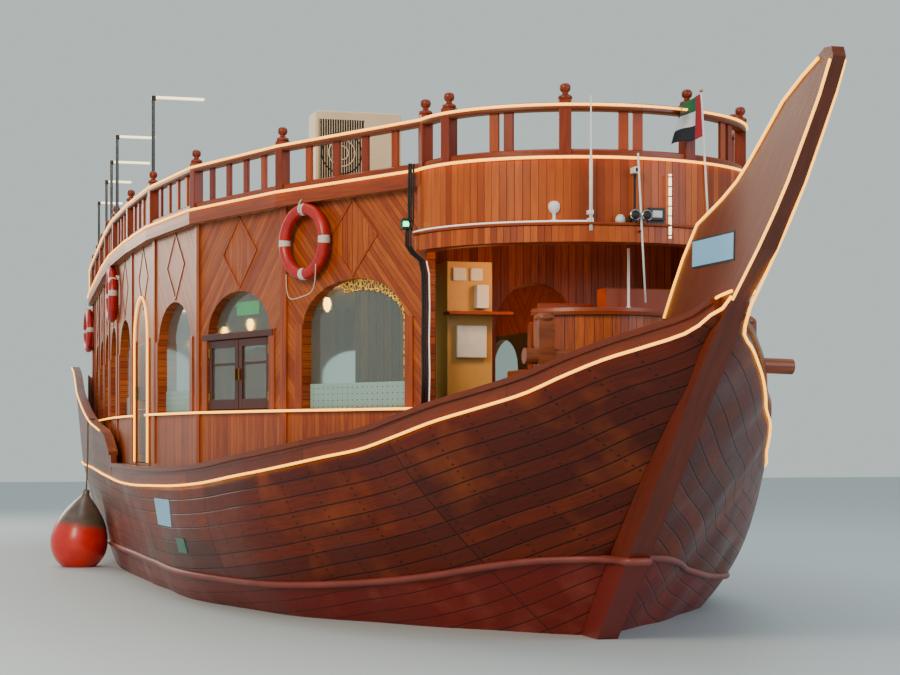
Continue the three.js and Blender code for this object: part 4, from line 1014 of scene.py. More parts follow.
def round_bow(long, half, step, z):
    """Places at equal steps round the bow from side to side, with the way each one faces."""
    port = bow_arc(long, half, count=200)
    line = [Vector((p.x, -p.y)) for p in port] + port[-2::-1]
    places, run = [], step / 2
    for a, b in zip(line, line[1:]):
        length = (b - a).length
        while run <= length:
            spot = a.lerp(b, run / length)
            places.append((spot.x, spot.y, z, math.atan2((b - a).y, (b - a).x)))
            run += step
        run -= length
    return places


moulding("fascia_core", bow_arc(1.32, 1.50), [
    (-0.045, FASCIA_LOW), (0.053, FASCIA_LOW), (0.053, ROOF_UNDER), (-0.045, ROOF_UNDER),
], run_teak, replaces="fascia")
boards = round_bow(1.385, 1.585, 0.071, (LEDGE + FASCIA_TOP) / 2)
stand_boards("fascia_boards", boards, (0.0695, 0.022, FASCIA_TOP - LEDGE), 11, fascia_wood)
stand_boards("ledge_boards", round_bow(1.441, 1.621, 0.061, 3.575), (0.0596, 0.014, 0.142), 12, fascia_wood)
moulding("ledge_cap", bow_arc(1.45, 1.63), [
    (-0.26, LEDGE), (0.012, LEDGE), (0.016, 3.662), (0.010, 3.674), (-0.26, 3.670),
], run_teak)


# Railing
# The upper deck's rail is square teak posts with turned finials, flat boards between them, and a
# moulded handrail. Aft of the bow five black lamp poles stand on its starboard side.
RAIL_INSET = 0.07
RAIL_FOOT_TOP = 4.32
POST_WIDE = 0.11
POST_MIDDLE = 4.507
BOW_POSTS = (4, 22, 68)
BOW_BOARDS = (43, 48.5, 87.5)
# Profiles give how far out and how high, and the turned finial its radius and height
HANDRAIL_TOP = 4.722
CAP_PROFILE = ((-0.055, 4.665), (-0.055, 4.702), (-0.038, HANDRAIL_TOP), (0.038, HANDRAIL_TOP),
               (0.057, 4.702), (0.057, 4.665), (0.042, 4.650), (-0.042, 4.650))
FOOT_PROFILE = ((-0.035, ROOF_TOP), (-0.035, RAIL_FOOT_TOP - 0.012), (-0.022, RAIL_FOOT_TOP),
                (0.022, RAIL_FOOT_TOP), (0.035, RAIL_FOOT_TOP - 0.012), (0.035, ROOF_TOP))
FINIAL = ((0.060, 4.752), (0.064, 4.768), (0.060, 4.780), (0.040, 4.790), (0.026, 4.802), (0.026, 4.812),
          (0.043, 4.826), (0.050, 4.850), (0.046, 4.872), (0.030, 4.890), (0.006, 4.896))
rail_path = plan_offset(roof_edge, -RAIL_INSET)
# The handrail is browned by hands, the posts are redder, and the boards between them vary in shade
rail_wood = straight_teak("handrail_teak", (2.2, 40.0, 40.0), "#55200a", "#8d421a", source="UV")
post_wood = straight_teak("turned_post_teak", (30.0, 30.0, 2.4), "#701f06", "#9c3c0c")
baluster_wood = own_shade_teak("baluster_teak", "#741f05", "#a8440c")


def bow_rail_place(degrees):
    turn = math.radians(degrees)
    long, half = ROOF_ARC["long"] - RAIL_INSET, ROOF_ARC["half"] - RAIL_INSET
    place = Vector((ROOF_ARC["x"] + long * math.sin(turn), half * math.cos(turn)))
    return place, math.atan2(-half * math.sin(turn), long * math.cos(turn))


post_places, board_places = [], []
for a, b in zip(rail_path, rail_path[1:]):
    if (b - a).length < 1:
        continue
    turn = math.atan2((b - a).y, (b - a).x)
    if a.y > 0.5:
        post_places.append((a, turn))
    board_places += [(a.lerp(b, k / 5), turn) for k in (1, 2, 3, 4)]
post_places += [bow_rail_place(degrees) for degrees in BOW_POSTS]
board_places += [bow_rail_place(degrees) for degrees in BOW_BOARDS]
for side_name, sign in SIDES:
    moulding(f"handrail_{side_name}", rail_path, CAP_PROFILE, rail_wood, (sign,), f"railing_{side_name}")
    moulding(f"foot_rail_{side_name}", rail_path, FOOT_PROFILE, run_teak, (sign,))
    places = [(p.x, sign * p.y, 4.485, sign * turn) for p, turn in board_places]
    stand_boards(f"rail_boards_{side_name}", places, (0.09, 0.032, 0.34), 21 + sign, baluster_wood, 0.006)
    posts = [(p.x, sign * p.y, POST_MIDDLE, sign * turn) for p, turn in post_places]
    if sign < 0:
        posts.append((rail_path[0].x, 0.0, POST_MIDDLE, 0.0))
    stand_boards(f"rail_posts_{side_name}", posts, (POST_WIDE, POST_WIDE, 0.492), 31, post_wood, 0.008)
    finials = [lathe(FINIAL, (x, y, 0), 16) for x, y, z, turn in posts]
    build(f"post_finials_{side_name}", finials, post_wood, smooth=True)

LAMP_POLES = (
    # x, y, top, length of the arm
    (0.78, -3.245, 5.74, 0.59), (-2.69, -3.26, 5.79, 0.50), (-3.99, -3.19, 5.63, 0.53),
    (-5.36, -3.11, 5.53, 0.36), (-8.13, -2.925, 5.54, 0.37),
)
# Hard black paint and white moulded plastic, both with a dull shine, and a lit milky arm
black_paint = flat_colour("black_pole_paint", "#0c0c0e", "#1d1d20", 0.4, 0.0, 0.3, 12.0)
white_plastic = flat_colour("white_moulded_plastic", "#d9d8d2", "#f1f0ea", 0.4, 0.0, 0.1, 14.0)
tube_lamp = lamp_material("lamp_arm_diffuser", "#fdf6dc", "#ffe9a8", 2.2)


poles, arms, caps = [], [], []
for x, y, top, arm in LAMP_POLES:
    profile = [(0.034, HANDRAIL_TOP), (0.034, 4.76), (0.021, 4.79), (0.020, top - 0.005), (0.006, top + 0.01)]
    poles.append(lathe(profile, (x, y, 0), 12))
    poles.append(block((x - 0.022, x + 0.022), (y - 0.022, y + 0.03), (top - 0.03, top + 0.026)))
    arms.append(block((x - 0.024, x + 0.024), (y + 0.03, y + arm), (top - 0.006, top + 0.022)))
    caps.append(block((x - 0.026, x + 0.026), (y + arm - 0.004, y + arm + 0.012), (top - 0.010, top + 0.025)))
build("lamp_poles", poles, black_paint, 0.002)
build("lamp_pole_arms", arms, tube_lamp, 0.004)
build("lamp_arm_ends", caps, white_plastic, 0.003)


# Rope lights on the house
# The same lamp tubes run along the window sill, round the side door, under the roof's edge, along
# the handrail, and up the edges of the prow and the stern wings.
ROPE_Z = SILL - 0.02
DOOR_ARCH = {"foot": 1.52, "spring": 2.96, "rise": 0.545}
roof_line = plan_offset(roof_edge, 0.024)[1:]
hand_line = plan_offset(rail_path, 0.062)[1:]
for side_name, sign in SIDES:
    rope_light(f"rope_light_roof_{side_name}", [(p.x, sign * p.y, ROOF_TOP - 0.02) for p in roof_line])
    rope_light(f"rope_light_handrail_{side_name}", [(p.x, sign * p.y, 4.70) for p in hand_line])
    corner = hand_line[0]
    corner_line = [(corner.x, sign * corner.y, z) for z in (4.70, 4.47, 4.25)]
    rope_light(f"rope_light_corner_{side_name}", corner_line, 0.010)
    middle, half = opening(DOOR_PANEL, sign)[:2]
    half_door = half + 0.035
    spring, rise = DOOR_ARCH["spring"], DOOR_ARCH["rise"]
    fore_run = [(0, 0.02), (1, 0.02), (2, 0.02), (DOOR_PANEL, 0.02), (DOOR_PANEL, middle - half_door)]
    aft_run = [(DOOR_PANEL, middle + half_door), (4, 0.0), (5, 0.0), (6, 0.0), (7, 0.0), (8, 0.0), (8, 1.75)]
    for run_name, run in (("fore", fore_run), ("aft", aft_run)):
        sill_line = [on_wall(i, sign, u, ROPE_Z, 0.05) for i, u in run]
        rope_light(f"rope_light_sill_{run_name}_{side_name}", sill_line)
    arch = [(-half_door, z) for z in (DOOR_ARCH["foot"], 2.2, spring)]
    turns = [math.pi * k / 16 for k in range(1, 16)]
    arch += [(-half_door * math.cos(turn), spring + rise * math.sin(turn)) for turn in turns]
    arch += [(half_door, z) for z in (spring, 2.2, DOOR_ARCH["foot"])]
    door_line = [on_wall(DOOR_PANEL, sign, middle + u, z, 0.025) for u, z in arch]
    rope_light(f"rope_light_door_{side_name}", door_line)
    wing = []
    for x in spread(-11.06, -2.9, 40):
        cap = along(WING_LINE, x)
        wing.append((x + stern_lean(x, cap), sign * (sheer_half(x) + flare_at(x, cap) + 0.045), cap - 0.01))
    rope_light(f"rope_light_wing_{side_name}", wing, 0.011)

PROW_EDGES = (
    # name, then x and z along the edge
    ("aft", ((8.61, 2.80), (8.78, 3.02), (8.98, 3.25), (9.26, 3.50), (9.49, 3.57), (9.75, 3.65),
             (10.01, 3.75), (10.21, 3.86), (10.40, 3.98), (10.79, 4.23), (11.11, 4.36), (11.35, 4.44))),
    ("fore", ((9.98, 2.86), (10.13, 2.98), (10.42, 3.21), (10.70, 3.455), (10.90, 3.645), (11.17, 3.945),
              (11.38, 4.185), (11.53, 4.40))),
)


def prow_half(z):
    return along(((2.45, 0.101), (2.90, 0.078), (4.60, 0.045)), z)


for side_name, sign in SIDES:
    for edge_name, edge in PROW_EDGES:
        points = [(x, sign * (prow_half(z) + 0.008), z) for x, z in edge]
        rope_light(f"rope_light_prow_{edge_name}_{side_name}", points, 0.012)
    points = [(9.62, sign * 0.13, 2.86), (9.80, sign * 0.112, 2.90), (9.98, sign * 0.094, 2.925)]
    rope_light(f"rope_light_stem_head_{side_name}", points, 0.012)
# A thin string of small pale lamps along the ledge
led_string = lamp_material("pale_lamp_string", "#e8e4da", "#fff3e0", 0.8)
ledge_rope = [(p.x, -p.y, 3.682) for p in bow_arc(1.452, 1.632)]
put_on(tube("ledge_lamp_string", ledge_rope[:20], 0.007, led_string, 6))


# Helm
# An open wheelhouse under the fascia: a curved counter of upright boards carries the instruments,
# and cream panels beside it hold the boat's electrics.
dress("helm", teak_boards("helm_counter_boards", "#8a3506", "#c05a10", "#300e03", CROSS_WALL, 0.4))
# Cream paint whose orange cast is the helm lamp's warm light painted into its colour, a near-black that
# paints the shade inside holes and recesses and also colours a lens, bright steel, and teak oiled almost
# black
lamplit_cream_paint = flat_colour("cream_panel_paint_with_painted_lamplight", "#cf9a48", "#e6b662", 0.5, scale=5.0)
hole_shade_and_lens_black = flat_colour("painted_hole_shade_and_lens_black", "#120c0a", "#241812", 0.6, scale=9.0)
steel_grey = flat_colour("brushed_stainless_steel", "#8d9196", "#b9bdc2", 0.28, 1.0, scale=30.0)
dark_teak = straight_teak("dark_door_teak", (30.0, 30.0, 2.4), "#32110a", "#5a2412")
COUNTER_TOP = 2.962
HELM_PIECES = (
    # name, material, finish, eased edge, then the ranges of X, Y and Z of each box
    ("helm_boxes_and_seat", run_teak, "teak", 0.012, (
        ((6.98, 7.22), (-0.08, 0.56), (2.952, 3.15)), ((6.90, 6.96), (-0.62, -0.10), (2.952, 3.02)),
        ((6.62, 6.72), (-0.62, -0.46), (2.35, 2.86)), ((6.58, 7.02), (-0.80, -0.30), (2.30, 2.42)),
        ((6.60, 6.98), (-0.78, -0.32), (1.965, 2.30)))),
    ("equipment_panel", lamplit_cream_paint, "cream_metal", 0.006, (
        ((5.97, 6.00), (-1.20, -0.76), (2.17, 3.46)), ((5.60, 5.98), (-1.20, -1.17), (2.17, 3.46)))),
    ("equipment_boxes", white_plastic, "cream_metal", 0.008, (
        ((6.00, 6.10), (-0.94, -0.82), (3.02, 3.24)), ((6.00, 6.06), (-1.12, -0.83), (2.56, 2.86)),
        ((6.00, 6.03), (-1.15, -1.02), (3.28, 3.40)), ((6.00, 6.03), (-0.98, -0.86), (3.28, 3.40)))),
    ("equipment_shelf", run_teak, "teak", 0.004, (((6.00, 6.22), (-1.24, -0.62), (2.955, 2.985)),)),
)
for name, material, slot, eased, boxes in HELM_PIECES:
    build(name, [block(*box) for box in boxes], material, eased)
moulding("helm_counter_edge", bow_arc(1.105, 0.925, 7.02), [
    (-0.03, 2.90), (0.012, 2.90), (0.020, 2.93), (0.012, COUNTER_TOP), (-0.03, COUNTER_TOP),
], run_teak)
WHEEL = Vector((7.01, -0.36, 2.62))


def upright_ring(x, y, z, radius, count):
    """Points of a circle that faces forward."""
    return [(x, y + radius * math.cos(a), z + radius * math.sin(a)) for a in circle(count)]


put_on(tube("steering_wheel_rim", upright_ring(*WHEEL, 0.27, 32), 0.016, dark_teak, 8, closed=True))
spokes = []
for turn in circle(6):
    way = Vector((0, math.cos(turn), math.sin(turn)))
    side = Vector((0, -way.z, way.y)) * 0.011
    corner = [WHEEL + way * reach + side * s + Vector((dx, 0, 0))
              for reach in (0.02, 0.34) for s in (-1, 1) for dx in (-0.011, 0.011)]
    spokes.append((corner, BOX_FACES))
build("steering_wheel_spokes", spokes, dark_teak, 0.003)


# Hatches and doors
# Each side has a pair of framed teak leaves with panes under an arched light, and an arched door
# of dark boards. Brass butt hinges carry them on their outer edges.
HATCH_LOW = 2.108
HATCH_HIGH = 2.832
STILE = 0.075
LEAF = (-0.050, -0.005)
for side_name, sign in SIDES:
    hatch_box = partial(box_on_wall, HATCH_PANEL, sign)
    middle, half = opening(HATCH_PANEL, sign)[:2]
    for part, u0, u1, inwards in (("fore", middle - half + 0.008, middle - 0.006, 1),
                                  ("aft", middle + 0.006, middle + half - 0.008, -1)):
        cad_node = f"hatch_{part}_{side_name}"
        between = (u0 + STILE, u1 - STILE)
        bars = [hatch_box((u0, u0 + STILE), (HATCH_LOW, HATCH_HIGH), LEAF),
                hatch_box((u1 - STILE, u1), (HATCH_LOW, HATCH_HIGH), LEAF),
                hatch_box(between, (HATCH_HIGH - STILE, HATCH_HIGH), LEAF),
                hatch_box(between, (HATCH_LOW, HATCH_LOW + 1.4 * STILE), LEAF),
                hatch_box(between, (HATCH_LOW + 0.46, HATCH_LOW + 0.485), (-0.040, -0.015))]
        build(f"{cad_node}_frame", bars, dark_teak, 0.004, cad_node, cad_node)
        pane = hatch_box((between[0] - 0.01, between[1] + 0.01),
                         (HATCH_LOW + 1.3 * STILE, HATCH_HIGH - STILE + 0.01), (-0.031, -0.024))
        build(f"{cad_node}_pane", [pane], clear_glass, body=cad_node)
        outer, inner = (u0, u1) if part == "fore" else (u1, u0)
        brasses = [hatch_box(sorted((outer, outer + inwards * 0.035)), (z, z + 0.09), (-0.005, 0.002))
                   for z in (HATCH_LOW + 0.08, HATCH_HIGH - 0.17)]
        brasses.append(hatch_box(sorted((inner - inwards * 0.045, inner - inwards * 0.030)),
                                 (HATCH_LOW + 0.30, HATCH_LOW + 0.42), (-0.006, 0.016)))
        build(f"{cad_node}_brasses", brasses, aged_brass, 0.002, cad_node)
    bar = hatch_box((middle - half - 0.10, middle + half + 0.10), (2.838, 2.905), (-0.10, 0.022))
    build(f"hatch_bar_{side_name}", [bar], dark_teak, 0.006)
    cad_node = f"side_door_{side_name}"
    recut(cad_node, f"{cad_node}_leaf", cad_node, dark_teak)
    door_box = partial(box_on_wall, DOOR_PANEL, sign)
    middle = opening(DOOR_PANEL, sign)[0]
    panels = [door_box((middle - 0.34, middle + 0.34), span, (-0.006, 0.006))
              for span in ((1.62, 2.16), (2.26, 2.94))]
    build(f"{cad_node}_panels", panels, dark_teak, 0.006, cad_node)
    grip = door_box((middle + 0.40, middle + 0.425), (2.28, 2.44), (-0.006, 0.03))
    build(f"{cad_node}_handle", [grip], aged_brass, 0.005, cad_node)
aft_grip = block((-9.985, -9.96), (-0.36, -0.335), (2.30, 2.46))
build("aft_door_handle", [aft_grip], aged_brass, 0.004, "aft_door")
# A dim green lens, lit from behind
exit_green = lamp_material("green_exit_light", "#0d5a2c", "#00b440", 0.9)
middle = opening(HATCH_PANEL, -1)[0]
lens = box_on_wall(HATCH_PANEL, -1, (middle - 0.03, middle + 0.38), (3.10, 3.235), (-0.24, -0.19))
build("exit_light", [lens], exit_green, 0.006)


# Foredeck
# A round cross beam lies over the bow's rails between two timber heads. The beam and the heads are
# oiled teak, worn pale on top. Blank enamelled plates are screwed to the prow and the hull.
# Sun and feet have bleached this teak, so it is pale and brown in turn
worn_teak = straight_teak("worn_oiled_teak", (26.0, 2.4, 26.0), "#6a2a10", "#a85c30")
dress("cross_beam", worn_teak)
CAP = [(0.085, 2.80), (0.09, 2.82), (0.085, 2.84), (0.05, 2.865), (0.005, 2.87)]
caps = [lathe(CAP, (8.0, sign * 0.92, 0), 16) for side_name, sign in SIDES]
build("timber_head_caps", caps, worn_teak, smooth=True)
# Enamel keeps a flat, clean colour
plate_blue = flat_colour("blue_enamelled_plate", "#6fb0dc", "#8cc4ea", 0.35, scale=3.0)
plate_border = flat_colour("dark_plate_border", "#14202c", "#22303c", 0.4, scale=9.0)
green_enamel = flat_colour("green_enamelled_plate", "#0f5a48", "#177059", 0.4, scale=6.0)
for name, material, grow, out in (("prow_plate_borders", plate_border, 0.014, 0.0),
                                  ("prow_plates", plate_blue, 0.0, 0.004)):
    plates = []
    for side_name, sign in SIDES:
        rings = []
        for x, z in ((9.18 - grow, 3.17 - grow), (9.97 + grow, 3.17 - grow), (9.97 + grow, 3.37 + grow),
                     (9.18 - grow, 3.37 + grow)):
            rings.append([(x, sign * (prow_half(z) + off), z) for off in (0.001, 0.006 + out)])
        plates.append(skin([[ring[n] for ring in rings] for n in (0, 1)]))
    build(name, plates, material)
for name, material, x_range, z_range in (("hull_plate", plate_blue, (1.20, 1.92), (0.83, 1.13)),
                                         ("hull_small_plate", green_enamel, (2.04, 2.34), (0.56, 0.72))):
    low, high = z_range
    ring = ((low, 0.002), (low, 0.010), (high, 0.010), (high, 0.002))
    rings = [[(x, -(side_half(x, z) + out), z) for z, out in ring] for x in spread(*x_range, 8)]
    put_on(face_out(put_mesh(name, *skin(rings), material, smooth=False)))


# Life rings
# Hard red foam rings with four white bands hang high on the walls, each on a thin white line from
# the roof's edge. A loose end hangs in a loop below the first one to starboard.
RING = {"radius": 0.315, "tube": 0.060, "off": 0.078}
# Each ring's x and the height of its middle
RING_PLACES = ((4.84, 3.722), (-2.95, 3.722), (-10.86, 3.656))
LOOSE_LINE = {"ring": ("stbd", 1), "ends": ((0.205, -0.310), (-0.267, -0.237)), "dip": 0.27}
# Hard foam with a painted skin: deep red and off-white, a little soiled, softly shining
ring_red, node, shader = new_material("red_ring_foam", 0.42, coat=0.2)
on = node("TexCoord").outputs
quarter = node("Math", node("SeparateXYZ", on["UV"]), operation="FRACT")
banded = node("Math", node("Math", quarter, 0.5, operation="PINGPONG"), 0.435, operation="GREATER_THAN")
soil = node("TexNoise", on["Object"], 14.0)
red_tone = node("Mix", soil, "#8e0604", "#c81208", data_type="RGBA")
white_tone = node("Mix", soil, "#b9b4aa", "#e6e2da", data_type="RGBA")
feed(shader, Base_Color=node("Mix", banded, red_tone, white_tone, data_type="RGBA"))
# White braid gone grey, with a matt, fine nap
line_rope = flat_colour("white_braided_line", "#b9b2a4", "#e4ded0", 0.8, scale=60.0, bump_size=0.002)


def wall_at(x):
    """Half breadth and slope of the house wall's outer face at a place along it."""
    i = [k for k in PANELS if HOUSE_CORNERS[k][0] >= x >= HOUSE_CORNERS[k + 1][0]][0]
    (ax, ah), (bx, bh) = HOUSE_CORNERS[i], HOUSE_CORNERS[i + 1]
    return ah + (bh - ah) * (x - ax) / (bx - ax), math.atan((bh - ah) / (bx - ax))


for side_name, sign in SIDES:
    for number, (x, z) in enumerate(RING_PLACES, 1):
        half, slope = wall_at(x) if x > HOUSE_CORNERS[-1][0] else (AFT_POST["y"] + AFT_POST["half"], 0.0)
        centre = Vector((x, sign * (half + RING["off"] / math.cos(slope)), z))
        level = Vector((math.cos(slope), sign * math.sin(slope), 0))
        out = Vector((-level.y, level.x, 0)) * sign
        rings, uvs = [], []
        for i in range(57):
            turn = 2 * math.pi * i / 56
            spoke = level * math.cos(turn) + Vector((0, 0, math.sin(turn)))
            rings.append([centre + spoke * (RING["radius"] + RING["tube"] * math.cos(a))
                          + out * RING["tube"] * math.sin(a) for a in circle(18)])
            uvs += [(4 * i / 56 + 0.5, k / 18) for k in range(18)]
        ring_shape = skin(rings, close_ends=False)
        ring_piece = face_out(put_mesh(f"life_ring_{number}_{side_name}", *ring_shape, ring_red, uvs=uvs))
        put_on(ring_piece, replaces=f"lifebuoy_{number}_{side_name}")
        line = [centre + Vector((0, 0, h)) + out * o
                for h, o in ((0.30, 0.064), (0.34, 0.070), (0.37, 0.060), (0.41, 0.03))]
        put_on(tube(f"life_ring_line_{number}_{side_name}", line, 0.006, line_rope, 6))
        if (side_name, number) == LOOSE_LINE["ring"]:
            start, finish = [centre - level * a + Vector((0, 0, h)) + out * 0.066
                             for a, h in LOOSE_LINE["ends"]]
            loop = []
            for t in spread(0, 1, 33):
                dip = LOOSE_LINE["dip"] * (1 - (2 * t - 1) ** 4)
                loop.append(start.lerp(finish, 0.5 - 0.5 * math.cos(math.pi * t)) - Vector((0, 0, dip)))
            cord = put_on(tube("life_ring_loose_line", loop, 0.004, line_rope, 8))
        hook = [centre + Vector((0, 0, h)) + out * o for h, o in ((0.27, 0.06), (0.31, 0.02), (0.37, -0.05))]
        put_on(tube(f"life_ring_hook_{number}_{side_name}", hook, 0.007, steel_grey, 6))


# Fenders
# Inflated red vinyl balls hang outside the hull, each tied by its grey neck to a rope of tarred fibre
# that comes over the rail.
FENDERS = (
    # side, sign, x, y, height, radius, lean towards the hull
    ("stbd", -1, -4.60, 3.577, 0.331, 0.400, 0.14),
    ("port", 1, 0.06, 3.540, 0.247, 0.360, 0.06),
)
# Radius and height of the outline, as shares of the ball's radius
FENDER_OUTLINE = ((0.02, -1.0), (0.20, -0.985), (0.38, -0.925), (0.56, -0.83), (0.71, -0.705), (0.83, -0.555),
                  (0.92, -0.385), (0.98, -0.20), (1.0, 0.0), (0.99, 0.16), (0.965, 0.32), (0.925, 0.50),
                  (0.865, 0.68), (0.78, 0.86), (0.67, 1.05), (0.52, 1.26), (0.36, 1.46), (0.22, 1.60),
                  (0.15, 1.69), (0.12, 1.76), (0.12, 1.86), (0.09, 1.90), (0.02, 1.905))
# Tarred fibre: dull brown, and rough enough to break up the light
rope_fibre = flat_colour("tarred_rope_fibre", "#4a4032", "#7d6c52", 0.85, scale=90.0, bump_size=0.003)
# Tight glossy vinyl, bright red with scuffs, going over to grimy grey at the neck
fender_red, node, shader = new_material("red_inflated_vinyl", 0.32, coat=0.25)
on = node("TexCoord").outputs
scuffs = node("TexNoise", on["Object"], 6.0, 8.0)
red_tone = node("Mix", scuffs, "#b30d05", "#f02a14", data_type="RGBA")
height = node("SeparateXYZ", on["UV"]).outputs[1]
edge = node("Math", scuffs, 0.35, height, operation="MULTIPLY_ADD")
necked = node("MapRange", edge, 0.62, 0.95, 0.0, 1.0, interpolation_type="SMOOTHSTEP")
neck_tone = node("Mix", scuffs, "#2c2520", "#7a6a5c", data_type="RGBA")
feed(shader, Base_Color=node("Mix", necked, red_tone, neck_tone, data_type="RGBA"))
for side_name, sign, x, y, z, radius, lean in FENDERS:
    centre = Vector((x, sign * y, z))
    tilt = Matrix.Rotation(sign * lean, 3, "X")
    rings = [[centre + tilt @ (Vector((out * math.cos(a), out * math.sin(a), up)) * radius)
              for a in circle(40)] for out, up in FENDER_OUTLINE]
    uvs = [(k / 40, up) for out, up in FENDER_OUTLINE for k in range(40)]
    ball = face_out(put_mesh(f"fender_ball_{side_name}", *skin(rings), fender_red, uvs=uvs))
    put_on(ball, replaces=f"fender_{side_name}")
    neck = centre + tilt @ Vector((0, 0, 1.86 * radius))
    cap = along(CAP_LINE if x > -2 else WING_LINE, x)
    out = sheer_half(x) + flare_at(x, cap) + 0.045
    hanger = [tuple(neck), (x, neck.y * 0.999, neck.z + 0.10), (x, sign * (out + 0.012), (neck.z + cap) / 2)]
    hanger += [(x, sign * (out + off), cap + up)
               for off, up in ((0.010, -0.03), (-0.008, 0.012), (-0.09, 0.012))]
    put_on(tube(f"fender_rope_{side_name}", hanger, 0.011, rope_fibre, 8))


# Air-conditioning unit
# A cream painted steel cabinet on two rails, with a round wire guard over its fan on the left and
# a plain service panel on the right.
AC = {"x": 3.40, "y": -1.47, "wide": 0.92, "deep": 0.38, "low": 4.32, "high": 5.22}
# Baked enamel on steel: an even warm cream with a low shine
cabinet_paint = flat_colour("cream_cabinet_enamel", "#cdb28c", "#e3c9a2", 0.42, scale=4.0)
front = AC["x"] + AC["deep"] / 2
left, right = AC["y"] - AC["wide"] / 2, AC["y"] + AC["wide"] / 2
cabinet = [block((AC["x"] - AC["deep"] / 2, front), (left, right), (AC["low"], AC["high"]))]
for foot in ((left + 0.15, left + 0.21), (right - 0.21, right - 0.15)):
    cabinet.append(block((AC["x"] - 0.17, AC["x"] + 0.17), foot, (ROOF_TOP + 0.002, 4.33)))
build("ac_cabinet", cabinet, cabinet_paint, 0.018, replaces="ac_unit")
grille = (left + 0.03, left + 0.51)
# A thin near-black sheet on the cabinet's front paints the shade inside the fan's recess behind the guard
recess = block((front - 0.004, front + 0.006), grille, (4.40, 5.14))
build("ac_fan_recess_painted_shade", [recess], hole_shade_and_lens_black, 0.004)
wires = [block((front + 0.008, front + 0.018), (y + 0.035, y + 0.041), (4.41, 5.13))
         for y in [left + k * 0.026 for k in range(18)]]
wires += [block((front + 0.006, front + 0.016), grille, (z, z + 0.012)) for z in (4.40, 5.128)]
build("ac_guard_bars", wires, cabinet_paint, 0.001)
GUARD_RINGS = ((0.07, cabinet_paint), (0.14, cabinet_paint), (0.215, hole_shade_and_lens_black))
for number, (radius, material) in enumerate(GUARD_RINGS, 1):
    rim = upright_ring(front + 0.020, left + 0.27, 4.78, radius, 40)
    put_on(tube(f"ac_guard_ring_{number}", rim, 0.006, material, 6, closed=True))


# Flag, aerial and ledge lamps
# A fibreglass whip and a thin staff with a printed cotton flag stand at the fascia. On the ledge are
# a bell lamp, a dome lamp, two trumpet horns, a floodlight and a camera on its black pole.
LEDGE_ARC = {"long": 1.40, "half": 1.58}


def on_ledge(y, out=0.0):
    """Plan place on the ledge at a distance to port, and how far outside its middle."""
    long, half = LEDGE_ARC["long"] + out, LEDGE_ARC["half"] + out
    return ROOF_ARC["x"] + long * math.sqrt(1 - (y / half) ** 2), y


def turned_on_ledge(name, profile, place, material, sides=20, low=0.0):
    """A turned piece that stands at a plan place, its profile measured from a height."""
    shape = lathe([(r, low + h) for r, h in profile], (*place, 0), sides)
    return build(name, [shape], material, smooth=True)


LEDGE_TOP = 3.672
WHIP = (7.70, -0.395)
STAFF_FOOT = Vector((7.56, 0.76, 3.67))
STAFF_HEAD = Vector((7.56, 0.69, 4.87))
turned_on_ledge("whip_aerial", [(0.016, 3.60), (0.016, 4.20), (0.009, 4.24), (0.006, 4.76), (0.001, 4.77)],
                WHIP, white_plastic, 12)
brackets = [block((7.62, 7.715), (WHIP[1] - 0.022, WHIP[1] + 0.022), (z, z + 0.04)) for z in (3.67, 3.74)]
build("whip_brackets", brackets, white_plastic, 0.006)
staff_line = [STAFF_FOOT.lerp(STAFF_HEAD, t) for t in spread(0, 1, 5)]
staff = put_on(tube("flag_staff", staff_line, 0.010, white_plastic, 10))
ball = lathe([(0.004, -0.01), (0.014, 0.0), (0.017, 0.011), (0.012, 0.022), (0.002, 0.026)], STAFF_HEAD, 12)
build("flag_staff_ball", [ball], aged_brass, smooth=True)

# Thin printed cotton: matt bands of green, white and black with a red bar at the hoist
flag_cotton, node, shader = new_material("printed_flag_cotton", 0.75)
on = node("TexCoord").outputs
u, v, _ = node("SeparateXYZ", on["UV"]).outputs
colour = node("Mix", node("Math", v, 0.667, operation="GREATER_THAN"), "#dcd8d0", "#0b5a30", data_type="RGBA")
colour = node("Mix", node("Math", v, 0.333, operation="LESS_THAN"), colour, "#101012", data_type="RGBA")
colour = node("Mix", node("Math", u, 0.27, operation="LESS_THAN"), colour, "#b4101c", data_type="RGBA")
weave = node("TexNoise", on["UV"], 160.0)
feed(shader, Base_Color=node("Mix", 0.1, colour, "#1a1412", data_type="RGBA"),
     Normal=node("Bump", Strength=0.2, Distance=0.0006, Height=weave))
FLAG_CUT = (0.39, 0.37)
FLAG_LOW = 4.485
FLAG_WAY = Vector((0.34, -0.94, 0))
FLAG_SIDE = Vector((FLAG_WAY.y, -FLAG_WAY.x, 0))


def flag_point(u, v):
    """A point of the flag: u along the fly, v up the hoist. It sags and ripples towards the fly."""
    height = FLAG_LOW + FLAG_CUT[1] * v
    hoist = STAFF_FOOT.lerp(STAFF_HEAD, (height - STAFF_FOOT.z) / (STAFF_HEAD.z - STAFF_FOOT.z))
    reach = (0.37 - 0.10 * v) * u
    sag = (0.13 + 0.03 * v) * u ** 1.25 + 0.02 * math.sin(5.5 * u) * (1 - v)
    ripple = (0.036 + 0.022 * v) * u * math.sin(8.6 * u + 1.4 * v + 0.6)
    ripple += 0.012 * u * math.sin(15.0 * u - 2.0 * v)
    return hoist + FLAG_WAY * reach + FLAG_SIDE * ripple + Vector((0, 0, -sag))


rings, uvs = [], []
across = spread(0, 1, 37)
for v in spread(0, 1, 25):
    row = [flag_point(u, v) for u in spread(0.02, 1, 37)]
    rings.append(row + [p + FLAG_SIDE * 0.0016 for p in row[::-1]])
    uvs += [(u, v) for u in across + across[::-1]]
flag = face_out(put_mesh("flag_cloth", *skin(rings), flag_cotton, uvs=uvs))
put_on(flag, replaces="flag")

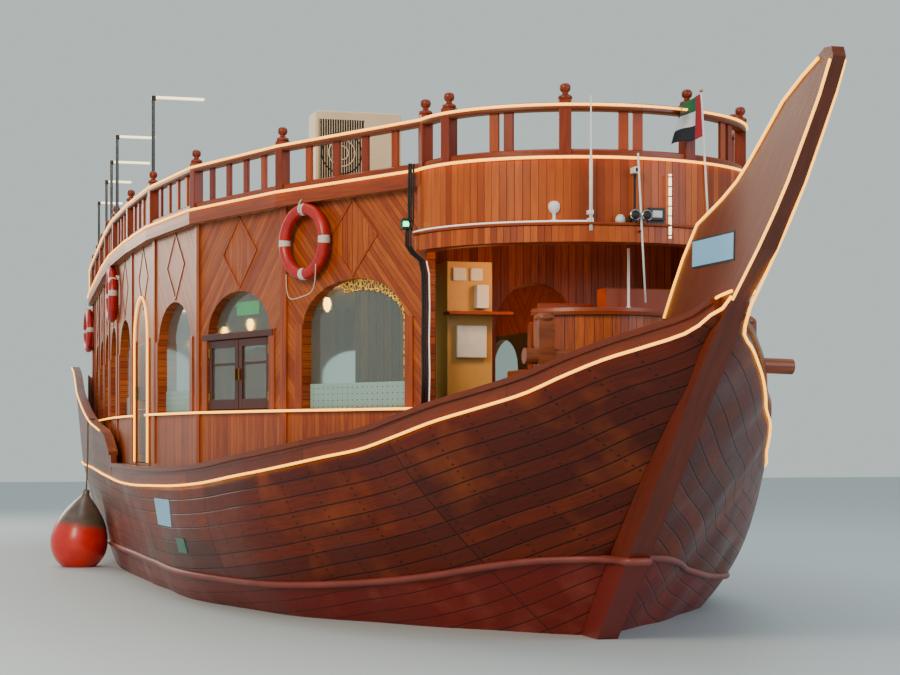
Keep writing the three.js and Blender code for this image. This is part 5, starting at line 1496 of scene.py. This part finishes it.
# Milky unlit glass, chromed brass that mirrors the sky, and dull black rubber
lamp_glass = flat_colour("opal_lamp_glass", "#b8bcb8", "#dfe2dd", 0.2, coat=0.4, scale=4.0)
chrome = flat_colour("chromed_brass_horn", "#a9adb2", "#d2d5d8", 0.14, 1.0, scale=6.0)
black_rubber = flat_colour("black_cable_rubber", "#0a0a0b", "#19191a", 0.6, scale=20.0)
bell = [(0.045, 0.0), (0.045, 0.02), (0.014, 0.03), (0.014, 0.08), (0.040, 0.10), (0.052, 0.13),
        (0.050, 0.165), (0.030, 0.185), (0.002, 0.19)]
turned_on_ledge("bell_lamp", bell, on_ledge(-0.684), white_plastic, low=LEDGE_TOP)
dome = [(0.045, 0.0), (0.045, 0.03), (0.040, 0.05), (0.025, 0.07), (0.002, 0.076)]
turned_on_ledge("dome_lamp", dome, on_ledge(-0.131, 0.02), lamp_glass, low=LEDGE_TOP)
HORN = (
    # run from the back of the horn, radius there
    (0.0, 0.016), (0.05, 0.014), (0.10, 0.017), (0.15, 0.026), (0.19, 0.043), (0.205, 0.050), (0.207, 0.036),
)
for number, across in enumerate((-0.033, 0.076), 1):
    x, y = on_ledge(across)
    z = LEDGE_TOP + 0.062
    throat = [(x - 0.08 + run, y, z) for run, radius in HORN]
    put_on(tube(f"horn_{number}", throat, [radius for run, radius in HORN], chrome, 20))
    # A near-black disc in the horn's open end paints the shade inside its throat
    mouth = [(x + 0.124, y, z), (x + 0.1285, y, z)]
    put_on(tube(f"horn_mouth_painted_shade_{number}", mouth, 0.040, hole_shade_and_lens_black, 20))
    foot = block((x - 0.06, x), (y - 0.02, y + 0.02), (LEDGE_TOP, LEDGE_TOP + 0.05))
    build(f"horn_foot_{number}", [foot], black_paint, 0.003)
x, y = on_ledge(0.206)
flood = [block((x - 0.05, x + 0.045), (y - 0.075, y + 0.075), (LEDGE_TOP + 0.03, LEDGE_TOP + 0.14)),
         block((x - 0.012, x + 0.012), (y - 0.08, y + 0.08), (LEDGE_TOP, LEDGE_TOP + 0.04))]
build("floodlight_case", flood, black_paint, 0.006)
flood_pane = block((x + 0.044, x + 0.050), (y - 0.045, y + 0.045), (LEDGE_TOP + 0.055, LEDGE_TOP + 0.115))
build("floodlight_glass", [flood_pane], lamp_glass, 0.003)
x, y = 7.735, -0.005
pole = [(0.030, LEDGE_TOP - 0.002), (0.030, LEDGE_TOP + 0.012), (0.011, LEDGE_TOP + 0.02), (0.011, 4.10),
        (0.002, 4.102)]
turned_on_ledge("camera_pole", pole, (x, y), black_paint, 12)
camera_case = block((x - 0.045, x + 0.065), (y - 0.028, y + 0.028), (4.10, 4.155))
build("camera_case", [camera_case], white_plastic, 0.010)
camera_lens = block((x + 0.064, x + 0.067), (y - 0.018, y + 0.018), (4.11, 4.145))
build("camera_lens", [camera_lens], hole_shade_and_lens_black, 0.001)
thin_pole = [(7.80, 0.0, 4.27), (7.80, 0.035, 3.60), (7.80, 0.07, 2.98)]
put_on(tube("thin_white_pole", thin_pole, 0.009, white_plastic, 8))
pole_clip = block((7.75, 7.805), (0.022, 0.044), (3.59, 3.605))
build("thin_pole_clip", [pole_clip], black_paint, 0.002)
pole = [(0.018, COUNTER_TOP), (0.018, 2.975), (0.0125, 2.985), (0.0125, 3.495), (0.002, 3.50)]
turned_on_ledge("short_white_pole", pole, (7.30, 0.105), white_plastic, 12)
lamp_place = on_ledge(0.33, 0.05)
lamp_tube = [(*lamp_place, z) for z in spread(3.55, 4.11, 9)]
put_on(tube("upright_lamp_tube", lamp_tube, 0.014, tube_lamp, 10))
for number, z in enumerate(spread(3.57, 4.08, 7), 1):
    ends = [(*lamp_place, z), (*lamp_place, z + 0.010)]
    put_on(tube(f"lamp_tube_band_{number}", ends, 0.018, black_rubber, 10))

# Cables run down the forward edge of the starboard wall, with the green navigation light among them
CABLE_WAY = ((6.40, -1.655, 4.30), (6.402, -1.662, 4.15), (6.402, -1.662, 3.95), (6.405, -1.662, 3.78),
             (6.412, -1.69, 3.66), (6.415, -1.69, 3.55), (6.412, -1.64, 3.48), (6.405, -1.56, 3.42),
             (6.405, -1.535, 3.30), (6.405, -1.53, 3.0), (6.405, -1.535, 2.7), (6.405, -1.53, 2.4),
             (6.405, -1.535, 2.12))
for number, (shift, size) in enumerate(((0.0, 0.012), (0.024, 0.009), (-0.022, 0.008)), 1):
    run = [(x + 0.004 * number, y + shift, z) for x, y, z in CABLE_WAY]
    put_on(tube(f"wall_cable_{number}", run, size, black_rubber, 8))
lamp_line = [(x + 0.014, y + 0.045, z) for x, y, z in CABLE_WAY[7:]]
put_on(tube("wall_lamp_string", lamp_line, 0.006, led_string, 6))
# A bright green lens in its black case
nav_green = lamp_material("green_navigation_lens", "#0f7a3a", "#35ff88", 5.0, 0.3)
nav_case = [block(x_range, (-1.745, -1.665), z_range) for x_range, z_range in
            (((6.36, 6.44), (3.70, 3.725)), ((6.36, 6.44), (3.775, 3.80)), ((6.36, 6.38), (3.70, 3.80)))]
build("navigation_light_case", nav_case, black_paint, 0.004)
nav_outline = [(0.004, 3.726), (0.026, 3.728), (0.028, 3.75), (0.026, 3.772), (0.004, 3.774)]
nav_lens = lathe(nav_outline, (6.408, -1.705, 0), 16)
build("navigation_light_lens", [nav_lens], nav_green, smooth=True)
half = wall_at(-2.70)[0]
wall_camera = [block((-2.75, -2.63), (-half - 0.14, -half - 0.05), (3.86, 3.93)),
               block((-2.71, -2.67), (-half - 0.07, -half + 0.01), (3.90, 3.96))]
build("wall_camera", wall_camera, white_plastic, 0.01)


# Rudder, propeller and taffrail
# The rudder is a hung slab of oiled planks, the propeller is cast bronze gone dull, and the taffrail
# is a carved teak board that has weathered silver.
dress("rudder", straight_teak("weathered_rudder_teak", (3.0, 14.0, 20.0), "#4c1810", "#7c3a28", 0.6))
dress("propeller", flat_colour("dull_cast_bronze", "#5a4524", "#9a7a42", 0.42, 1.0, scale=16.0,
                               bump_size=0.003))
dress("taffrail", straight_teak("weathered_taffrail_teak", (26.0, 2.2, 26.0), "#6e4028", "#a07a60", 0.5))


# The two boxes: the CAD parts' and the finished scene's
boxes = {"cad": [list(v) for v in CAD_BOX], "visual": [list(v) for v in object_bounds()]}
